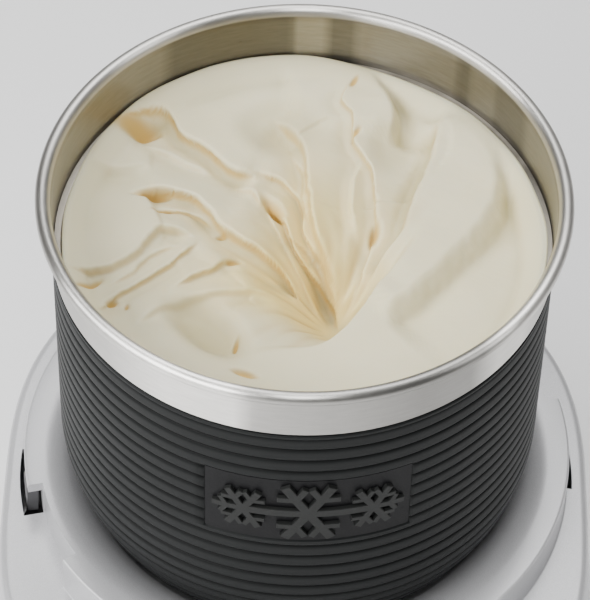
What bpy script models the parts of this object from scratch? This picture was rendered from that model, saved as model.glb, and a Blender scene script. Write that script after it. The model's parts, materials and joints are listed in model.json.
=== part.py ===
"""An ice cream maker: a geared turntable base with a lift-out freezer bowl.

The frame is in metres, +Z up, with the front facing -Y. The origin is on the
table, on the spindle's axis, which is also the middle of the base.
"""

import math

import bmesh
import bpy
from mathutils import Matrix, Vector

MM = 0.001
GAP = 0.3 * MM  # space left between pieces that touch on the real machine

# Base housing
DECK_HEIGHT = 112 * MM
DECK_LIP = 7.7 * MM  # from the collar to the housing's edge, at the middle of a side
SIDE_FLARE = 11.3 * MM  # how much wider the housing is at its foot, on each side
FRONT_SQUARENESS = 3.6
BACK_SQUARENESS = 2.5
EDGE_FILLET = 3 * MM
WALL = 2.8 * MM
FOOT_HEIGHT = 6 * MM
FOOT_RADIUS = 9 * MM
FOOT_STEM_RADIUS = 3 * MM
FOOT_INSET = (30 * MM, 66 * MM)  # from the housing's sides to the feet's centres
PLATE_THICKNESS = 3 * MM
VENT_PITCH = 9 * MM
VENT_WIDTH = 4 * MM
VENT_LENGTH = 40 * MM
BOSS_INSET = 34 * MM
BOSS_RADIUS = 4.5 * MM
SCREW_RADIUS = 1.6 * MM
SCREW_HEAD_RADIUS = 3.2 * MM
SCREW_HEAD_HEIGHT = 2.2 * MM
SCREW_GRIP = 10 * MM

# Collar, its bayonet recesses for the lid, and the well
COLLAR_HEIGHT = 17.4 * MM
COLLAR_THICKNESS = 8 * MM
COLLAR_CLEARANCE = 15 * MM  # from the bowl's side to the collar's outside
RECESS_DEPTH = 5.7 * MM
RECESS_START = 194
RECESS_END = 214.8
SLOT_START = 177
SLOT_LEDGE = 4.4 * MM
SLOT_REACH = 1.4 * MM
SLOT_FLOOR_DROP = 12 * MM
DISH = ((12 * MM, 4.5 * MM), (6 * MM, 1.8 * MM), (0, 0))  # in from the collar's top, and down
WELL_CLEARANCE = 6 * MM
SEAT_DROP = 8 * MM  # the bowl's bottom stands this far below the deck
TURNTABLE_SPACE = 7 * MM

# Bowl
BOWL_RADIUS = 90 * MM
BOWL_HEIGHT = 166 * MM
BOWL_CORNER_RADIUS = 62 * MM
RIM_ROLL_RADIUS = 2.5 * MM
BAND_HEIGHT = 23 * MM
SHEET = 0.7 * MM
SLEEVE_THICKNESS = 1.9 * MM
CUP_TAPER = 8 * MM
CUP_SHOULDER_DROP = 12 * MM
CUP_FLOOR_RISE = 24 * MM
CUP_CORNER_RADIUS = 24 * MM
SOCKET_RADIUS = 33 * MM
SOCKET_DEPTH = 9 * MM
SOCKET_BORE = 24 * MM
SOCKET_FLANGE = 10.5 * MM

# Badge on the sleeve
BADGE_ANGLE = 3
BADGE_SPREAD = 48
BADGE_HEIGHT = 35 * MM
BADGE_DROP = 48.5 * MM
BADGE_POCKET = 1.2 * MM
BADGE_THICKNESS = 0.6 * MM
EMBLEM_HEIGHT = 1.2 * MM
EMBLEM_ARM = 13 * MM
EMBLEM_REACH = 31 * MM
EMBLEM_BAR = 1.7 * MM

# Contents
FILL_DROP = 25.5 * MM
VORTEX_PLACE = (14 * MM, 2 * MM)
VORTEX_DEPTH = 24 * MM
VORTEX_WIDTH = 30 * MM

# Drive train
PRESSURE_ANGLE = math.radians(25)
BACKLASH = 0.5 * MM
OUTPUT_TEETH = 45
OUTPUT_MODULE = 2 * MM
OUTPUT_WIDTH = 9 * MM
IDLER_PINION_TEETH = 12
WHEEL_TEETH = 48
WHEEL_MODULE = 1.5 * MM
WHEEL_WIDTH = 6 * MM
MOTOR_PINION_TEETH = 12
IDLER_ANGLE = 150
MOTOR_ANGLE = 40
SHAFT_RADIUS = 5 * MM
AXLE_RADIUS = 3 * MM
ROTOR_SHAFT_RADIUS = 2.5 * MM
BUSH_WALL = 2.5 * MM
GEARBOX_WALL = 2.5 * MM
GEARBOX_SPACE = 2.5 * MM
GEARBOX_TOP_SPACE = 6 * MM
POST_RADIUS = 4 * MM
PINION_HOLE_RADIUS = 8 * MM
TURNTABLE_RADIUS = 30 * MM
TURNTABLE_THICKNESS = 4 * MM
LUG_REACH = 20 * MM
LUG_WIDTH = 6 * MM
LUG_HEIGHT = 6.5 * MM

# Motor
MOTOR_RADIUS = 29 * MM
MOTOR_HEIGHT = 42 * MM
MOTOR_WALL = 1.4 * MM
ROTOR_RADIUS = 14 * MM
STATOR_THICKNESS = 11 * MM
STATOR_HEIGHT = 20 * MM
COIL_HEIGHT = 6 * MM
FAN_RADIUS = 20 * MM
FAN_HEIGHT = 4.5 * MM

# Power switch, cord gland and lid interlock
SWITCH_HEIGHT = 45 * MM
SWITCH_WIDTH = 18 * MM
ROCKER_RADIUS = 6.4 * MM
ROCKER_TILT = 8
BEZEL_MARGIN = 4 * MM
BEZEL_THICKNESS = 1.6 * MM
GLAND_HEIGHT = 38 * MM
GLAND_RADIUS = 7 * MM
CORD_RADIUS = 3.6 * MM
PLUNGER_ANGLE = 189
PLUNGER_WIDTH = 8 * MM
PLUNGER_TRAVEL = 3 * MM

# Places that follow from the sizes above
SEAT = DECK_HEIGHT - SEAT_DROP
RIM = SEAT + BOWL_HEIGHT
LEDGE = RIM - BAND_HEIGHT
CUP_RADIUS = BOWL_RADIUS - SLEEVE_THICKNESS - 2 * SHEET - 2 * GAP
COLLAR_RADIUS = BOWL_RADIUS + COLLAR_CLEARANCE
COLLAR_TOP = DECK_HEIGHT + COLLAR_HEIGHT
HALF_TOP = COLLAR_RADIUS + DECK_LIP
HALF_FOOT = HALF_TOP + SIDE_FLARE
BOSS_PLACE = HALF_TOP - BOSS_INSET
FOOT_PLACE = (HALF_FOOT - FOOT_INSET[0], HALF_FOOT - FOOT_INSET[1])
WELL_FLOOR = SEAT - TURNTABLE_SPACE
PLATE_BOTTOM = FOOT_HEIGHT
PLATE_TOP = PLATE_BOTTOM + PLATE_THICKNESS

COVER_TOP = WELL_FLOOR - WALL - GEARBOX_TOP_SPACE
GEARBOX_TOP = COVER_TOP - GEARBOX_WALL
OUTPUT_TOP = GEARBOX_TOP - GEARBOX_SPACE
OUTPUT_BOTTOM = OUTPUT_TOP - OUTPUT_WIDTH
WHEEL_TOP = OUTPUT_BOTTOM - 1.5 * MM
WHEEL_BOTTOM = WHEEL_TOP - WHEEL_WIDTH
GEARBOX_FLOOR = WHEEL_BOTTOM - GEARBOX_SPACE
GEARBOX_BOTTOM = GEARBOX_FLOOR - GEARBOX_WALL
MOTOR_TOP = GEARBOX_BOTTOM - GAP
MOTOR_BOTTOM = MOTOR_TOP - MOTOR_HEIGHT
STATOR_MIDDLE = (MOTOR_TOP + MOTOR_BOTTOM) / 2

OUTPUT_PITCH = OUTPUT_TEETH * OUTPUT_MODULE / 2
IDLER_PITCH = IDLER_PINION_TEETH * OUTPUT_MODULE / 2
WHEEL_PITCH = WHEEL_TEETH * WHEEL_MODULE / 2
MOTOR_PITCH = MOTOR_PINION_TEETH * WHEEL_MODULE / 2

ROUND = 36  # sides of the large turned pieces
SMALL_ROUND = 16
TINY_ROUND = 10
HOUSING_SIDES = 48


def polar(radius, degrees):
    """A point in plan, at an angle from +X towards +Y."""
    angle = math.radians(degrees)
    return Vector((radius * math.cos(angle), radius * math.sin(angle), 0))


IDLER_PLACE = polar(OUTPUT_PITCH + IDLER_PITCH, IDLER_ANGLE)
MOTOR_PLACE = IDLER_PLACE + polar(WHEEL_PITCH + MOTOR_PITCH, MOTOR_ANGLE)

# colour, roughness, metallic
FINISHES = {
    "satin_silver": ((0.60, 0.60, 0.61), 0.38, 0.35),
    "brushed_steel": ((0.72, 0.71, 0.68), 0.28, 1.0),
    "dark_grip": ((0.045, 0.046, 0.05), 0.55, 0.0),
    "badge_dark": ((0.03, 0.03, 0.032), 0.45, 0.0),
    "badge_light": ((0.07, 0.072, 0.07), 0.4, 0.0),
    "cream": ((0.80, 0.72, 0.55), 0.5, 0.0),
    "coolant": ((0.25, 0.45, 0.75), 0.4, 0.0),
    "black_plastic": ((0.03, 0.03, 0.03), 0.45, 0.0),
    "grey_plastic": ((0.28, 0.28, 0.29), 0.5, 0.0),
    "white_gear": ((0.85, 0.84, 0.80), 0.45, 0.0),
    "rubber": ((0.02, 0.02, 0.02), 0.8, 0.0),
    "steel": ((0.55, 0.55, 0.56), 0.3, 1.0),
    "bronze": ((0.60, 0.40, 0.18), 0.4, 1.0),
    "lamination": ((0.30, 0.30, 0.32), 0.5, 1.0),
    "copper": ((0.72, 0.34, 0.16), 0.35, 1.0),
}


def finish(name):
    """The Principled material of one finish, made the first time it is asked for."""
    material = bpy.data.materials.get(name)
    if material:
        return material
    colour, roughness, metallic = FINISHES[name]
    material = bpy.data.materials.new(name)
    material.use_nodes = True
    shader = material.node_tree.nodes["Principled BSDF"]
    shader.inputs["Base Color"].default_value = (*colour, 1)
    shader.inputs["Roughness"].default_value = roughness
    shader.inputs["Metallic"].default_value = metallic
    return material


def add(name, bm, look, parent=None):
    """Links a bmesh as a named object, with its faces turned outwards."""
    bmesh.ops.recalc_face_normals(bm, faces=bm.faces)
    mesh = bpy.data.meshes.new(name)
    bm.to_mesh(mesh)
    bm.free()
    mesh.shade_smooth()
    mesh.set_sharp_from_angle(angle=math.radians(35))
    mesh.materials.append(finish(look))
    obj = bpy.data.objects.new(name, mesh)
    bpy.context.collection.objects.link(obj)
    if parent:
        obj.parent = parent
    return obj


def axis_empty(name, place, rotation=None):
    """An empty on a joint's axis, which the pieces that move about it hang from."""
    empty = bpy.data.objects.new(name, None)
    bpy.context.collection.objects.link(empty)
    empty.location = place
    if rotation:
        empty.rotation_euler = rotation
    return empty


def bridge(bm, rings, closed):
    """Faces between rings of vertices; a ring of one vertex is a pole."""
    pairs = list(zip(rings, rings[1:]))
    if closed:
        pairs.append((rings[-1], rings[0]))
    for low, high in pairs:
        count = max(len(low), len(high))
        for i in range(count):
            j = (i + 1) % count
            corners = [low[i % len(low)], low[j % len(low)], high[j % len(high)], high[i % len(high)]]
            bm.faces.new(list(dict.fromkeys(corners)))


def turned(profile, sides=ROUND, centre=(0, 0)):
    """A solid turned about Z, from a loop of (radius, height) or a line that ends on the axis."""
    bm = bmesh.new()
    rings = []
    for radius, height in profile:
        if radius == 0:
            rings.append([bm.verts.new((centre[0], centre[1], height))])
            continue
        ring = []
        for i in range(sides):
            angle = 2 * math.pi * i / sides
            x = centre[0] + radius * math.cos(angle)
            y = centre[1] + radius * math.sin(angle)
            ring.append(bm.verts.new((x, y, height)))
        rings.append(ring)
    bridge(bm, rings, closed=profile[0][0] != 0)
    return bm


def tube(outer, inner, low, high, sides=SMALL_ROUND):
    """A plain round sleeve."""
    return turned([(outer, low), (outer, high), (inner, high), (inner, low)], sides)


def rod(radius, low, high, sides=SMALL_ROUND, chamfer=0.4 * MM):
    """A round bar with both ends chamfered."""
    small = radius - chamfer
    lower = [(0, low), (small, low), (radius, low + chamfer)]
    profile = lower + [(radius, high - chamfer), (small, high), (0, high)]
    return turned(profile, sides)


def prism(outline, low, high):
    """A closed outline in plan, raised from one height to another."""
    bm = bmesh.new()
    face = bm.faces.new([bm.verts.new((x, y, low)) for x, y in outline])
    raised = bmesh.ops.extrude_face_region(bm, geom=[face])["geom"]
    verts = [item for item in raised if isinstance(item, bmesh.types.BMVert)]
    bmesh.ops.translate(bm, verts=verts, vec=(0, 0, high - low))
    return bm


def block(low, high, bevel=0.5 * MM):
    """A box between two corners, with its edges bevelled."""
    bm = bmesh.new()
    bmesh.ops.create_cube(bm, size=1)
    size = Vector(high) - Vector(low)
    middle = (Vector(high) + Vector(low)) / 2
    place = Matrix.Translation(middle) @ Matrix.Diagonal((*size, 1))
    bmesh.ops.transform(bm, matrix=place, verts=bm.verts)
    if bevel:
        bmesh.ops.bevel(bm, geom=bm.edges, offset=bevel, segments=1, affect="EDGES")
    return bm


def arc(centre, radius, start, end, steps):
    """Points (radius, height) along an arc, the angle measured from outwards towards up."""
    points = []
    for i in range(steps + 1):
        angle = math.radians(start + (end - start) * i / steps)
        points.append((centre[0] + radius * math.cos(angle), centre[1] + radius * math.sin(angle)))
    return points


def sector(inner, outer, start, end, low, high, steps=8):
    """A stretch of a ring between two angles."""
    angles = [start + (end - start) * i / steps for i in range(steps + 1)]
    outline = [polar(outer, angle)[:2] for angle in angles]
    outline += [polar(inner, angle)[:2] for angle in reversed(angles)]
    return prism(outline, low, high)


def star(hub, arms, half_width):
    """An outline of a hub with bars standing out of it; arms holds (degrees, reach)."""
    outline = []
    half_angle = math.degrees(math.asin(half_width / hub))
    for k, (angle, reach) in enumerate(arms):
        along = polar(1, angle)
        across = polar(half_width, angle + 90)
        outline.append(polar(hub, angle - half_angle)[:2])
        outline.append((along * reach - across)[:2])
        outline.append((along * reach + across)[:2])
        outline.append(polar(hub, angle + half_angle)[:2])
        after = arms[(k + 1) % len(arms)][0] + (360 if k + 1 == len(arms) else 0)
        outline.append(polar(hub, (angle + after) / 2)[:2])
    return outline


def modify(target, other, operation):
    """A Boolean with another object, which is then only a guide."""
    other.hide_render = True
    other.display_type = "WIRE"
    modifier = target.modifiers.new(other.name, "BOOLEAN")
    modifier.operation = operation
    modifier.object = other


def cut(target, bm, name, parent=None):
    modify(target, add(name, bm, "grey_plastic", parent), "DIFFERENCE")


def join(target, bm, name, parent=None):
    modify(target, add(name, bm, "grey_plastic", parent), "UNION")


def square_radius(half, angle):
    """How far the housing's rounded-square outline is from the axis, at an angle in radians."""
    power = FRONT_SQUARENESS if math.sin(angle) < 0 else BACK_SQUARENESS
    total = abs(math.cos(angle)) ** power + abs(math.sin(angle)) ** power
    return half / total ** (1 / power)


def half_width_at(height):
    """The housing's outer half width at a height."""
    share = (height - FOOT_HEIGHT) / (DECK_HEIGHT - FOOT_HEIGHT)
    return HALF_FOOT - SIDE_FLARE * share


def housing_loft(stations, sides=HOUSING_SIDES):
    """A closed shell through rings; each station is (is_square, size, height)."""
    bm = bmesh.new()
    rings = []
    for is_square, size, height in stations:
        ring = []
        for i in range(sides):
            angle = 2 * math.pi * i / sides
            radius = square_radius(size, angle) if is_square else size
            ring.append(bm.verts.new((radius * math.cos(angle), radius * math.sin(angle), height)))
        rings.append(ring)
    bridge(bm, rings, closed=True)
    return bm


def sleeve_profile(inset, top, floor):
    """The bowl's outside, from its bottom edge up to a height, moved in by an inset."""
    centre = (BOWL_RADIUS - BOWL_CORNER_RADIUS, SEAT + BOWL_CORNER_RADIUS - 8 * MM)
    radius = BOWL_CORNER_RADIUS - inset
    lowest = -math.degrees(math.asin((centre[1] - floor) / radius))
    return arc(centre, radius, lowest, 0, 4) + [(BOWL_RADIUS - inset, top)]


def well_profile(clearance):
    """The well's side, from its floor up to the dish, a clearance out from the bowl."""
    side = sleeve_profile(-clearance, COLLAR_TOP, SEAT - 1 * MM)
    return [(radius, height) for radius, height in side if height < DECK_HEIGHT + 6 * MM]


def upper_housing():
    """Deck, collar, well and side walls in one moulding."""
    well = well_profile(WELL_CLEARANCE)
    under = well_profile(WELL_CLEARANCE + WALL)
    land = COLLAR_RADIUS - COLLAR_THICKNESS
    dish = [(land - inset, COLLAR_TOP - drop) for inset, drop in DISH]
    inside = HALF_TOP - WALL
    edge_height = DECK_HEIGHT - EDGE_FILLET
    edge_centre = (half_width_at(edge_height) - EDGE_FILLET, edge_height)
    fillet = arc(edge_centre, EDGE_FILLET, 0, 90, 2)
    stations = [(True, HALF_FOOT, FOOT_HEIGHT)]
    stations += [(True, size, height) for size, height in fillet]
    stations += [
        (False, COLLAR_RADIUS + 1 * MM, DECK_HEIGHT),
        (False, COLLAR_RADIUS, DECK_HEIGHT + 1 * MM),
        (False, COLLAR_RADIUS, COLLAR_TOP - 1.2 * MM),
        (False, COLLAR_RADIUS - 1.2 * MM, COLLAR_TOP),
    ]
    stations += [(False, size, height) for size, height in reversed(dish)]
    stations += [(False, size, height) for size, height in reversed(well)]
    stations += [
        (False, well[0][0] - 3 * MM, WELL_FLOOR),
        (False, SHAFT_RADIUS + 2 * BUSH_WALL, WELL_FLOOR),
        (False, SHAFT_RADIUS + 2 * BUSH_WALL, WELL_FLOOR - WALL),
        (False, under[0][0] - 3 * MM, WELL_FLOOR - WALL),
    ]
    stations += [(False, size, height) for size, height in under]
    stations += [(False, size + 0.6 * MM, height - WALL) for size, height in dish[:2]]
    stations += [
        (False, land, COLLAR_TOP - WALL),
        (False, land, DECK_HEIGHT - WALL),
        (True, inside - EDGE_FILLET / 2, DECK_HEIGHT - WALL),
        (True, half_width_at(DECK_HEIGHT - 2 * WALL) - WALL, DECK_HEIGHT - 2 * WALL),
        (True, HALF_FOOT - WALL, FOOT_HEIGHT),
    ]
    housing = add("upper_housing", housing_loft(stations), "satin_silver")
    for side, turn in (("left", 0), ("right", 180)):
        recess = sector(
            COLLAR_RADIUS - RECESS_DEPTH,
            COLLAR_RADIUS + 3 * MM,
            RECESS_START + turn,
            RECESS_END + turn,
            DECK_HEIGHT,
            COLLAR_TOP + 2 * MM,
        )
        cut(housing, recess, f"{side}_recess")
        slot = sector(
            COLLAR_RADIUS - RECESS_DEPTH + GAP,
            COLLAR_RADIUS + SLOT_REACH,
            SLOT_START + turn,
            RECESS_START + 0.5 + turn,
            DECK_HEIGHT - SLOT_FLOOR_DROP,
            COLLAR_TOP - SLOT_LEDGE,
        )
        cut(housing, slot, f"{side}_slot")
    for name, place in corner_places(BOSS_PLACE, BOSS_PLACE):
        boss = turned(
            [
                (0, DECK_HEIGHT - WALL / 2),
                (BOSS_RADIUS, DECK_HEIGHT - WALL / 2),
                (BOSS_RADIUS, PLATE_TOP + GAP),
                (SCREW_RADIUS + GAP, PLATE_TOP + GAP),
                (SCREW_RADIUS + GAP, PLATE_TOP + SCREW_GRIP + 1 * MM),
                (0, PLATE_TOP + SCREW_GRIP + 1 * MM),
            ],
            TINY_ROUND,
            place,
        )
        join(housing, boss, f"boss_{name}")
    return housing


def corner_places(x, y):
    return [(i + 1, (sx * x, sy * y)) for i, (sx, sy) in enumerate(((1, 1), (-1, 1), (-1, -1), (1, -1)))]


def bottom_plate():
    """Floor of the base, with vents under the motor and holes for the feet and screws."""
    half = half_width_at(PLATE_TOP) - WALL - GAP
    outline = []
    for i in range(HOUSING_SIDES):
        angle = 2 * math.pi * i / HOUSING_SIDES
        outline.append(polar(square_radius(half, angle), math.degrees(angle))[:2])
    plate = add("bottom_plate", prism(outline, PLATE_BOTTOM, PLATE_TOP), "black_plastic")
    low = PLATE_BOTTOM - 1 * MM
    high = PLATE_TOP + 1 * MM
    for name, place in corner_places(*FOOT_PLACE):
        hole = turned(capped(FOOT_STEM_RADIUS + GAP, low, high), TINY_ROUND, place)
        cut(plate, hole, f"foot_hole_{name}")
    for name, place in corner_places(BOSS_PLACE, BOSS_PLACE):
        hole = turned(capped(SCREW_RADIUS + GAP, low, high), TINY_ROUND, place)
        cut(plate, hole, f"screw_hole_{name}")
    for k in range(-2, 3):
        x = MOTOR_PLACE.x + VENT_PITCH * k
        near = (x - VENT_WIDTH / 2, MOTOR_PLACE.y - VENT_LENGTH / 2, low)
        far = (x + VENT_WIDTH / 2, MOTOR_PLACE.y + VENT_LENGTH / 2, high)
        cut(plate, block(near, far, 0), f"vent_{k + 3}")


def capped(radius, low, high):
    return [(0, low), (radius, low), (radius, high), (0, high)]


def feet_and_screws():
    for name, place in corner_places(*FOOT_PLACE):
        top = PLATE_BOTTOM - GAP
        profile = [
            (0, 0),
            (FOOT_RADIUS - 1.5 * MM, 0),
            (FOOT_RADIUS, 1.5 * MM),
            (FOOT_RADIUS, top),
            (FOOT_STEM_RADIUS, top),
            (FOOT_STEM_RADIUS, PLATE_TOP + 1.5 * MM),
            (0, PLATE_TOP + 1.5 * MM),
        ]
        add(f"foot_{name}", turned(profile, TINY_ROUND, place), "rubber")
    for name, place in corner_places(BOSS_PLACE, BOSS_PLACE):
        piece = screw(place, PLATE_BOTTOM - GAP, -1, SCREW_GRIP + PLATE_THICKNESS)
        add(f"bottom_screw_{name}", piece, "steel")


def screw(place, seat, outwards, length):
    """A pan-head screw; outwards is +1 when its head is on top of its seat."""
    profile = [
        (0, seat + outwards * SCREW_HEAD_HEIGHT),
        (SCREW_HEAD_RADIUS * 0.7, seat + outwards * SCREW_HEAD_HEIGHT),
        (SCREW_HEAD_RADIUS, seat + outwards * SCREW_HEAD_HEIGHT * 0.6),
        (SCREW_HEAD_RADIUS, seat),
        (SCREW_RADIUS, seat),
        (SCREW_RADIUS, seat - outwards * length),
        (0, seat - outwards * length),
    ]
    return turned(profile, TINY_ROUND, place)


def gear_outline(teeth, module, phase):
    """Involute teeth, with one tooth centred on the phase angle in degrees."""
    pitch = teeth * module / 2
    base = pitch * math.cos(PRESSURE_ANGLE)
    root = pitch - 1.2 * module
    tip = pitch + 0.9 * module
    half_tooth = (math.pi * module / 2 - BACKLASH / 2) / 2 / pitch
    involute_at_pitch = math.tan(PRESSURE_ANGLE) - PRESSURE_ANGLE
    foot = max(root, base)
    flank = []
    for radius in (foot, tip) if teeth > 30 else (foot, (foot + tip) / 2, tip):
        turn = math.acos(min(1, base / radius))
        flank.append((radius, half_tooth + involute_at_pitch - (math.tan(turn) - turn)))
    if root < base:
        flank.insert(0, (root, flank[0][1]))
    outline = []
    for k in range(teeth):
        middle = math.radians(phase) + 2 * math.pi * k / teeth
        points = [(radius, middle - a) for radius, a in flank]
        points += [(radius, middle + a) for radius, a in reversed(flank)]
        outline += [(radius * math.cos(turn), radius * math.sin(turn)) for radius, turn in points]
    return outline


def on_shaft(name, outline, bore, low, high, look, parent):
    """A flat-sided piece with a round bore on its parent's axis."""
    piece = add(name, prism(outline, low, high), look, parent)
    cut(piece, turned(capped(bore, low - 1 * MM, high + 1 * MM), SMALL_ROUND), f"{name}_bore", parent)
    return piece


def meshing_phase(direction, teeth):
    """The phase that puts a gap, not a tooth, towards a direction."""
    return direction + 180 / teeth


def turntable_body():
    """Output shaft, its gear, and the plate whose lugs drive the bowl."""
    axis = axis_empty("turntable_axis", (0, 0, 0))
    hub_radius = SHAFT_RADIUS + GAP
    plate_top = SEAT - GAP
    plate_bottom = plate_top - TURNTABLE_THICKNESS
    teeth = gear_outline(OUTPUT_TEETH, OUTPUT_MODULE, IDLER_ANGLE)
    on_shaft("output_gear", teeth, hub_radius, OUTPUT_BOTTOM, OUTPUT_TOP, "white_gear", axis)
    add("output_shaft", rod(SHAFT_RADIUS, GEARBOX_BOTTOM - 2 * MM, plate_top + 1 * MM), "steel", axis)
    plate = [
        (TURNTABLE_RADIUS, plate_bottom + 0.8 * MM),
        (TURNTABLE_RADIUS, plate_top),
        (LUG_REACH - 6 * MM, plate_top),
        (LUG_REACH - 8 * MM, plate_top + LUG_HEIGHT),
        (hub_radius, plate_top + LUG_HEIGHT),
        (hub_radius, plate_bottom),
        (TURNTABLE_RADIUS - 0.8 * MM, plate_bottom),
    ]
    turntable = add("turntable", turned(plate, SMALL_ROUND * 2), "grey_plastic", axis)
    lug_top = plate_top + LUG_HEIGHT - 0.6 * MM
    for k in range(4):
        lug = block((9 * MM, -LUG_WIDTH / 2, plate_top - 1 * MM), (LUG_REACH, LUG_WIDTH / 2, lug_top), 0)
        bmesh.ops.rotate(lug, matrix=Matrix.Rotation(math.radians(90 * k), 3, "Z"), verts=lug.verts)
        join(turntable, lug, f"lug_{k + 1}", axis)
    clip_top = OUTPUT_BOTTOM - GAP
    add("gear_clip", tube(SHAFT_RADIUS + 3 * MM, hub_radius, clip_top - 1 * MM, clip_top), "steel", axis)


def idler_body():
    """Compound gear: a wheel driven by the motor and a pinion that drives the output gear."""
    axis = axis_empty("idler_axis", IDLER_PLACE)
    bore = AXLE_RADIUS + GAP
    phase = meshing_phase(IDLER_ANGLE + 180, IDLER_PINION_TEETH)
    low = WHEEL_TOP + GAP
    teeth = gear_outline(IDLER_PINION_TEETH, OUTPUT_MODULE, phase)
    on_shaft("idler_pinion", teeth, bore, low, OUTPUT_TOP + 0.5 * MM, "steel", axis)
    teeth = gear_outline(WHEEL_TEETH, WHEEL_MODULE, MOTOR_ANGLE)
    on_shaft("idler_wheel", teeth, bore, WHEEL_BOTTOM, WHEEL_TOP, "white_gear", axis)


def rotor_body():
    """Motor shaft with its core, fan and pinion."""
    axis = axis_empty("rotor_axis", MOTOR_PLACE)
    bore = ROTOR_SHAFT_RADIUS + GAP
    fan_top = MOTOR_BOTTOM - 1 * MM
    shaft_low = fan_top - FAN_HEIGHT - 0.6 * MM
    pinion_top = WHEEL_TOP + 0.8 * MM
    shaft = rod(ROTOR_SHAFT_RADIUS, shaft_low, pinion_top + 1 * MM, TINY_ROUND * 2)
    add("rotor_shaft", shaft, "steel", axis)
    core_low = STATOR_MIDDLE - STATOR_HEIGHT / 2
    core_high = STATOR_MIDDLE + STATOR_HEIGHT / 2
    add("rotor_core", tube(ROTOR_RADIUS, bore, core_low, core_high), "lamination", axis)
    phase = meshing_phase(MOTOR_ANGLE + 180, MOTOR_PINION_TEETH)
    low = WHEEL_BOTTOM - 0.8 * MM
    teeth = gear_outline(MOTOR_PINION_TEETH, WHEEL_MODULE, phase)
    on_shaft("motor_pinion", teeth, bore, low, pinion_top, "steel", axis)
    blades = star(6 * MM, [(45 * k, FAN_RADIUS) for k in range(8)], 0.8 * MM)
    on_shaft("cooling_fan", blades, bore, fan_top - FAN_HEIGHT, fan_top, "black_plastic", axis)


def motor():
    """Fixed pieces of the motor, hung under the gearbox floor."""
    axis = axis_empty("motor_axis", MOTOR_PLACE)
    inside = MOTOR_RADIUS - MOTOR_WALL
    bore = ROTOR_SHAFT_RADIUS + GAP
    bush_outer = bore + BUSH_WALL
    can = [
        (MOTOR_RADIUS, MOTOR_BOTTOM),
        (MOTOR_RADIUS, MOTOR_TOP),
        (inside, MOTOR_TOP),
        (inside, MOTOR_BOTTOM + MOTOR_WALL),
        (bush_outer + GAP, MOTOR_BOTTOM + MOTOR_WALL),
        (bush_outer + GAP, MOTOR_BOTTOM),
    ]
    add("motor_can", turned(can, 32), "steel", axis)
    plate_low = MOTOR_TOP - 1.6 * MM
    add("motor_end_plate", tube(inside - GAP, bush_outer + GAP, plate_low, MOTOR_TOP, 32), "steel", axis)
    stator_inner = inside - GAP - STATOR_THICKNESS
    core_low = STATOR_MIDDLE - STATOR_HEIGHT / 2
    core_high = STATOR_MIDDLE + STATOR_HEIGHT / 2
    add("stator_core", tube(inside - GAP, stator_inner, core_low, core_high, 32), "lamination", axis)
    coil_outer = inside - 1.5 * MM
    coil_inner = stator_inner + 1.5 * MM
    middle = (coil_outer + coil_inner) / 2
    for name, low in (("upper", core_high + GAP), ("lower", core_low - GAP - COIL_HEIGHT)):
        half = COIL_HEIGHT / 2
        width = (coil_outer - coil_inner) / 2
        turns = radians_round(6)
        coil = [(middle + width * math.cos(a), low + half + half * math.sin(a)) for a in turns]
        add(f"{name}_winding", turned(coil, SMALL_ROUND), "copper", axis)
    bush_top = MOTOR_TOP + 0.2 * MM
    add("upper_motor_bush", tube(bush_outer, bore, plate_low - 2 * MM, bush_top), "bronze", axis)
    low = MOTOR_BOTTOM + 0.2 * MM
    add("lower_motor_bush", tube(bush_outer, bore, low, low + 5 * MM), "bronze", axis)


def radians_round(count):
    return [2 * math.pi * k / count for k in range(count)]


def ear_places():
    """Centres of the gearbox's screws: two beside the output gear and one beside the wheel."""
    margin = GEARBOX_SPACE + GEARBOX_WALL + GAP
    reach = OUTPUT_PITCH + OUTPUT_MODULE + margin
    beside_wheel = WHEEL_PITCH + WHEEL_MODULE + margin
    return [polar(reach, -60), polar(reach, 20), IDLER_PLACE + polar(beside_wheel, 185)]


def gearbox_outline(margin, with_ears):
    """The tight convex outline round the three gears, and round the screws' ears when asked."""
    circles = [
        (Vector((0, 0, 0)), OUTPUT_PITCH + OUTPUT_MODULE + margin),
        (IDLER_PLACE, WHEEL_PITCH + WHEEL_MODULE + margin),
        (MOTOR_PLACE, MOTOR_PITCH + 3 * WHEEL_MODULE + margin),
    ]
    if with_ears:
        circles += [(place, POST_RADIUS + 2 * MM) for place in ear_places()]
    points = []
    for centre, radius in circles:
        points += [tuple((centre + polar(radius, 15 * k))[:2]) for k in range(24)]
    return convex_hull(points)


def convex_hull(points):
    """Andrew's monotone chain, counter-clockwise."""
    ordered = sorted(set(points))
    halves = []
    for sequence in (ordered, ordered[::-1]):
        chain = []
        for point in sequence:
            while len(chain) > 1 and turn_of(chain[-2], chain[-1], point) <= 0:
                chain.pop()
            chain.append(point)
        halves.append(chain[:-1])
    return halves[0] + halves[1]


def turn_of(a, b, c):
    return (b[0] - a[0]) * (c[1] - a[1]) - (b[1] - a[1]) * (c[0] - a[0])


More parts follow.
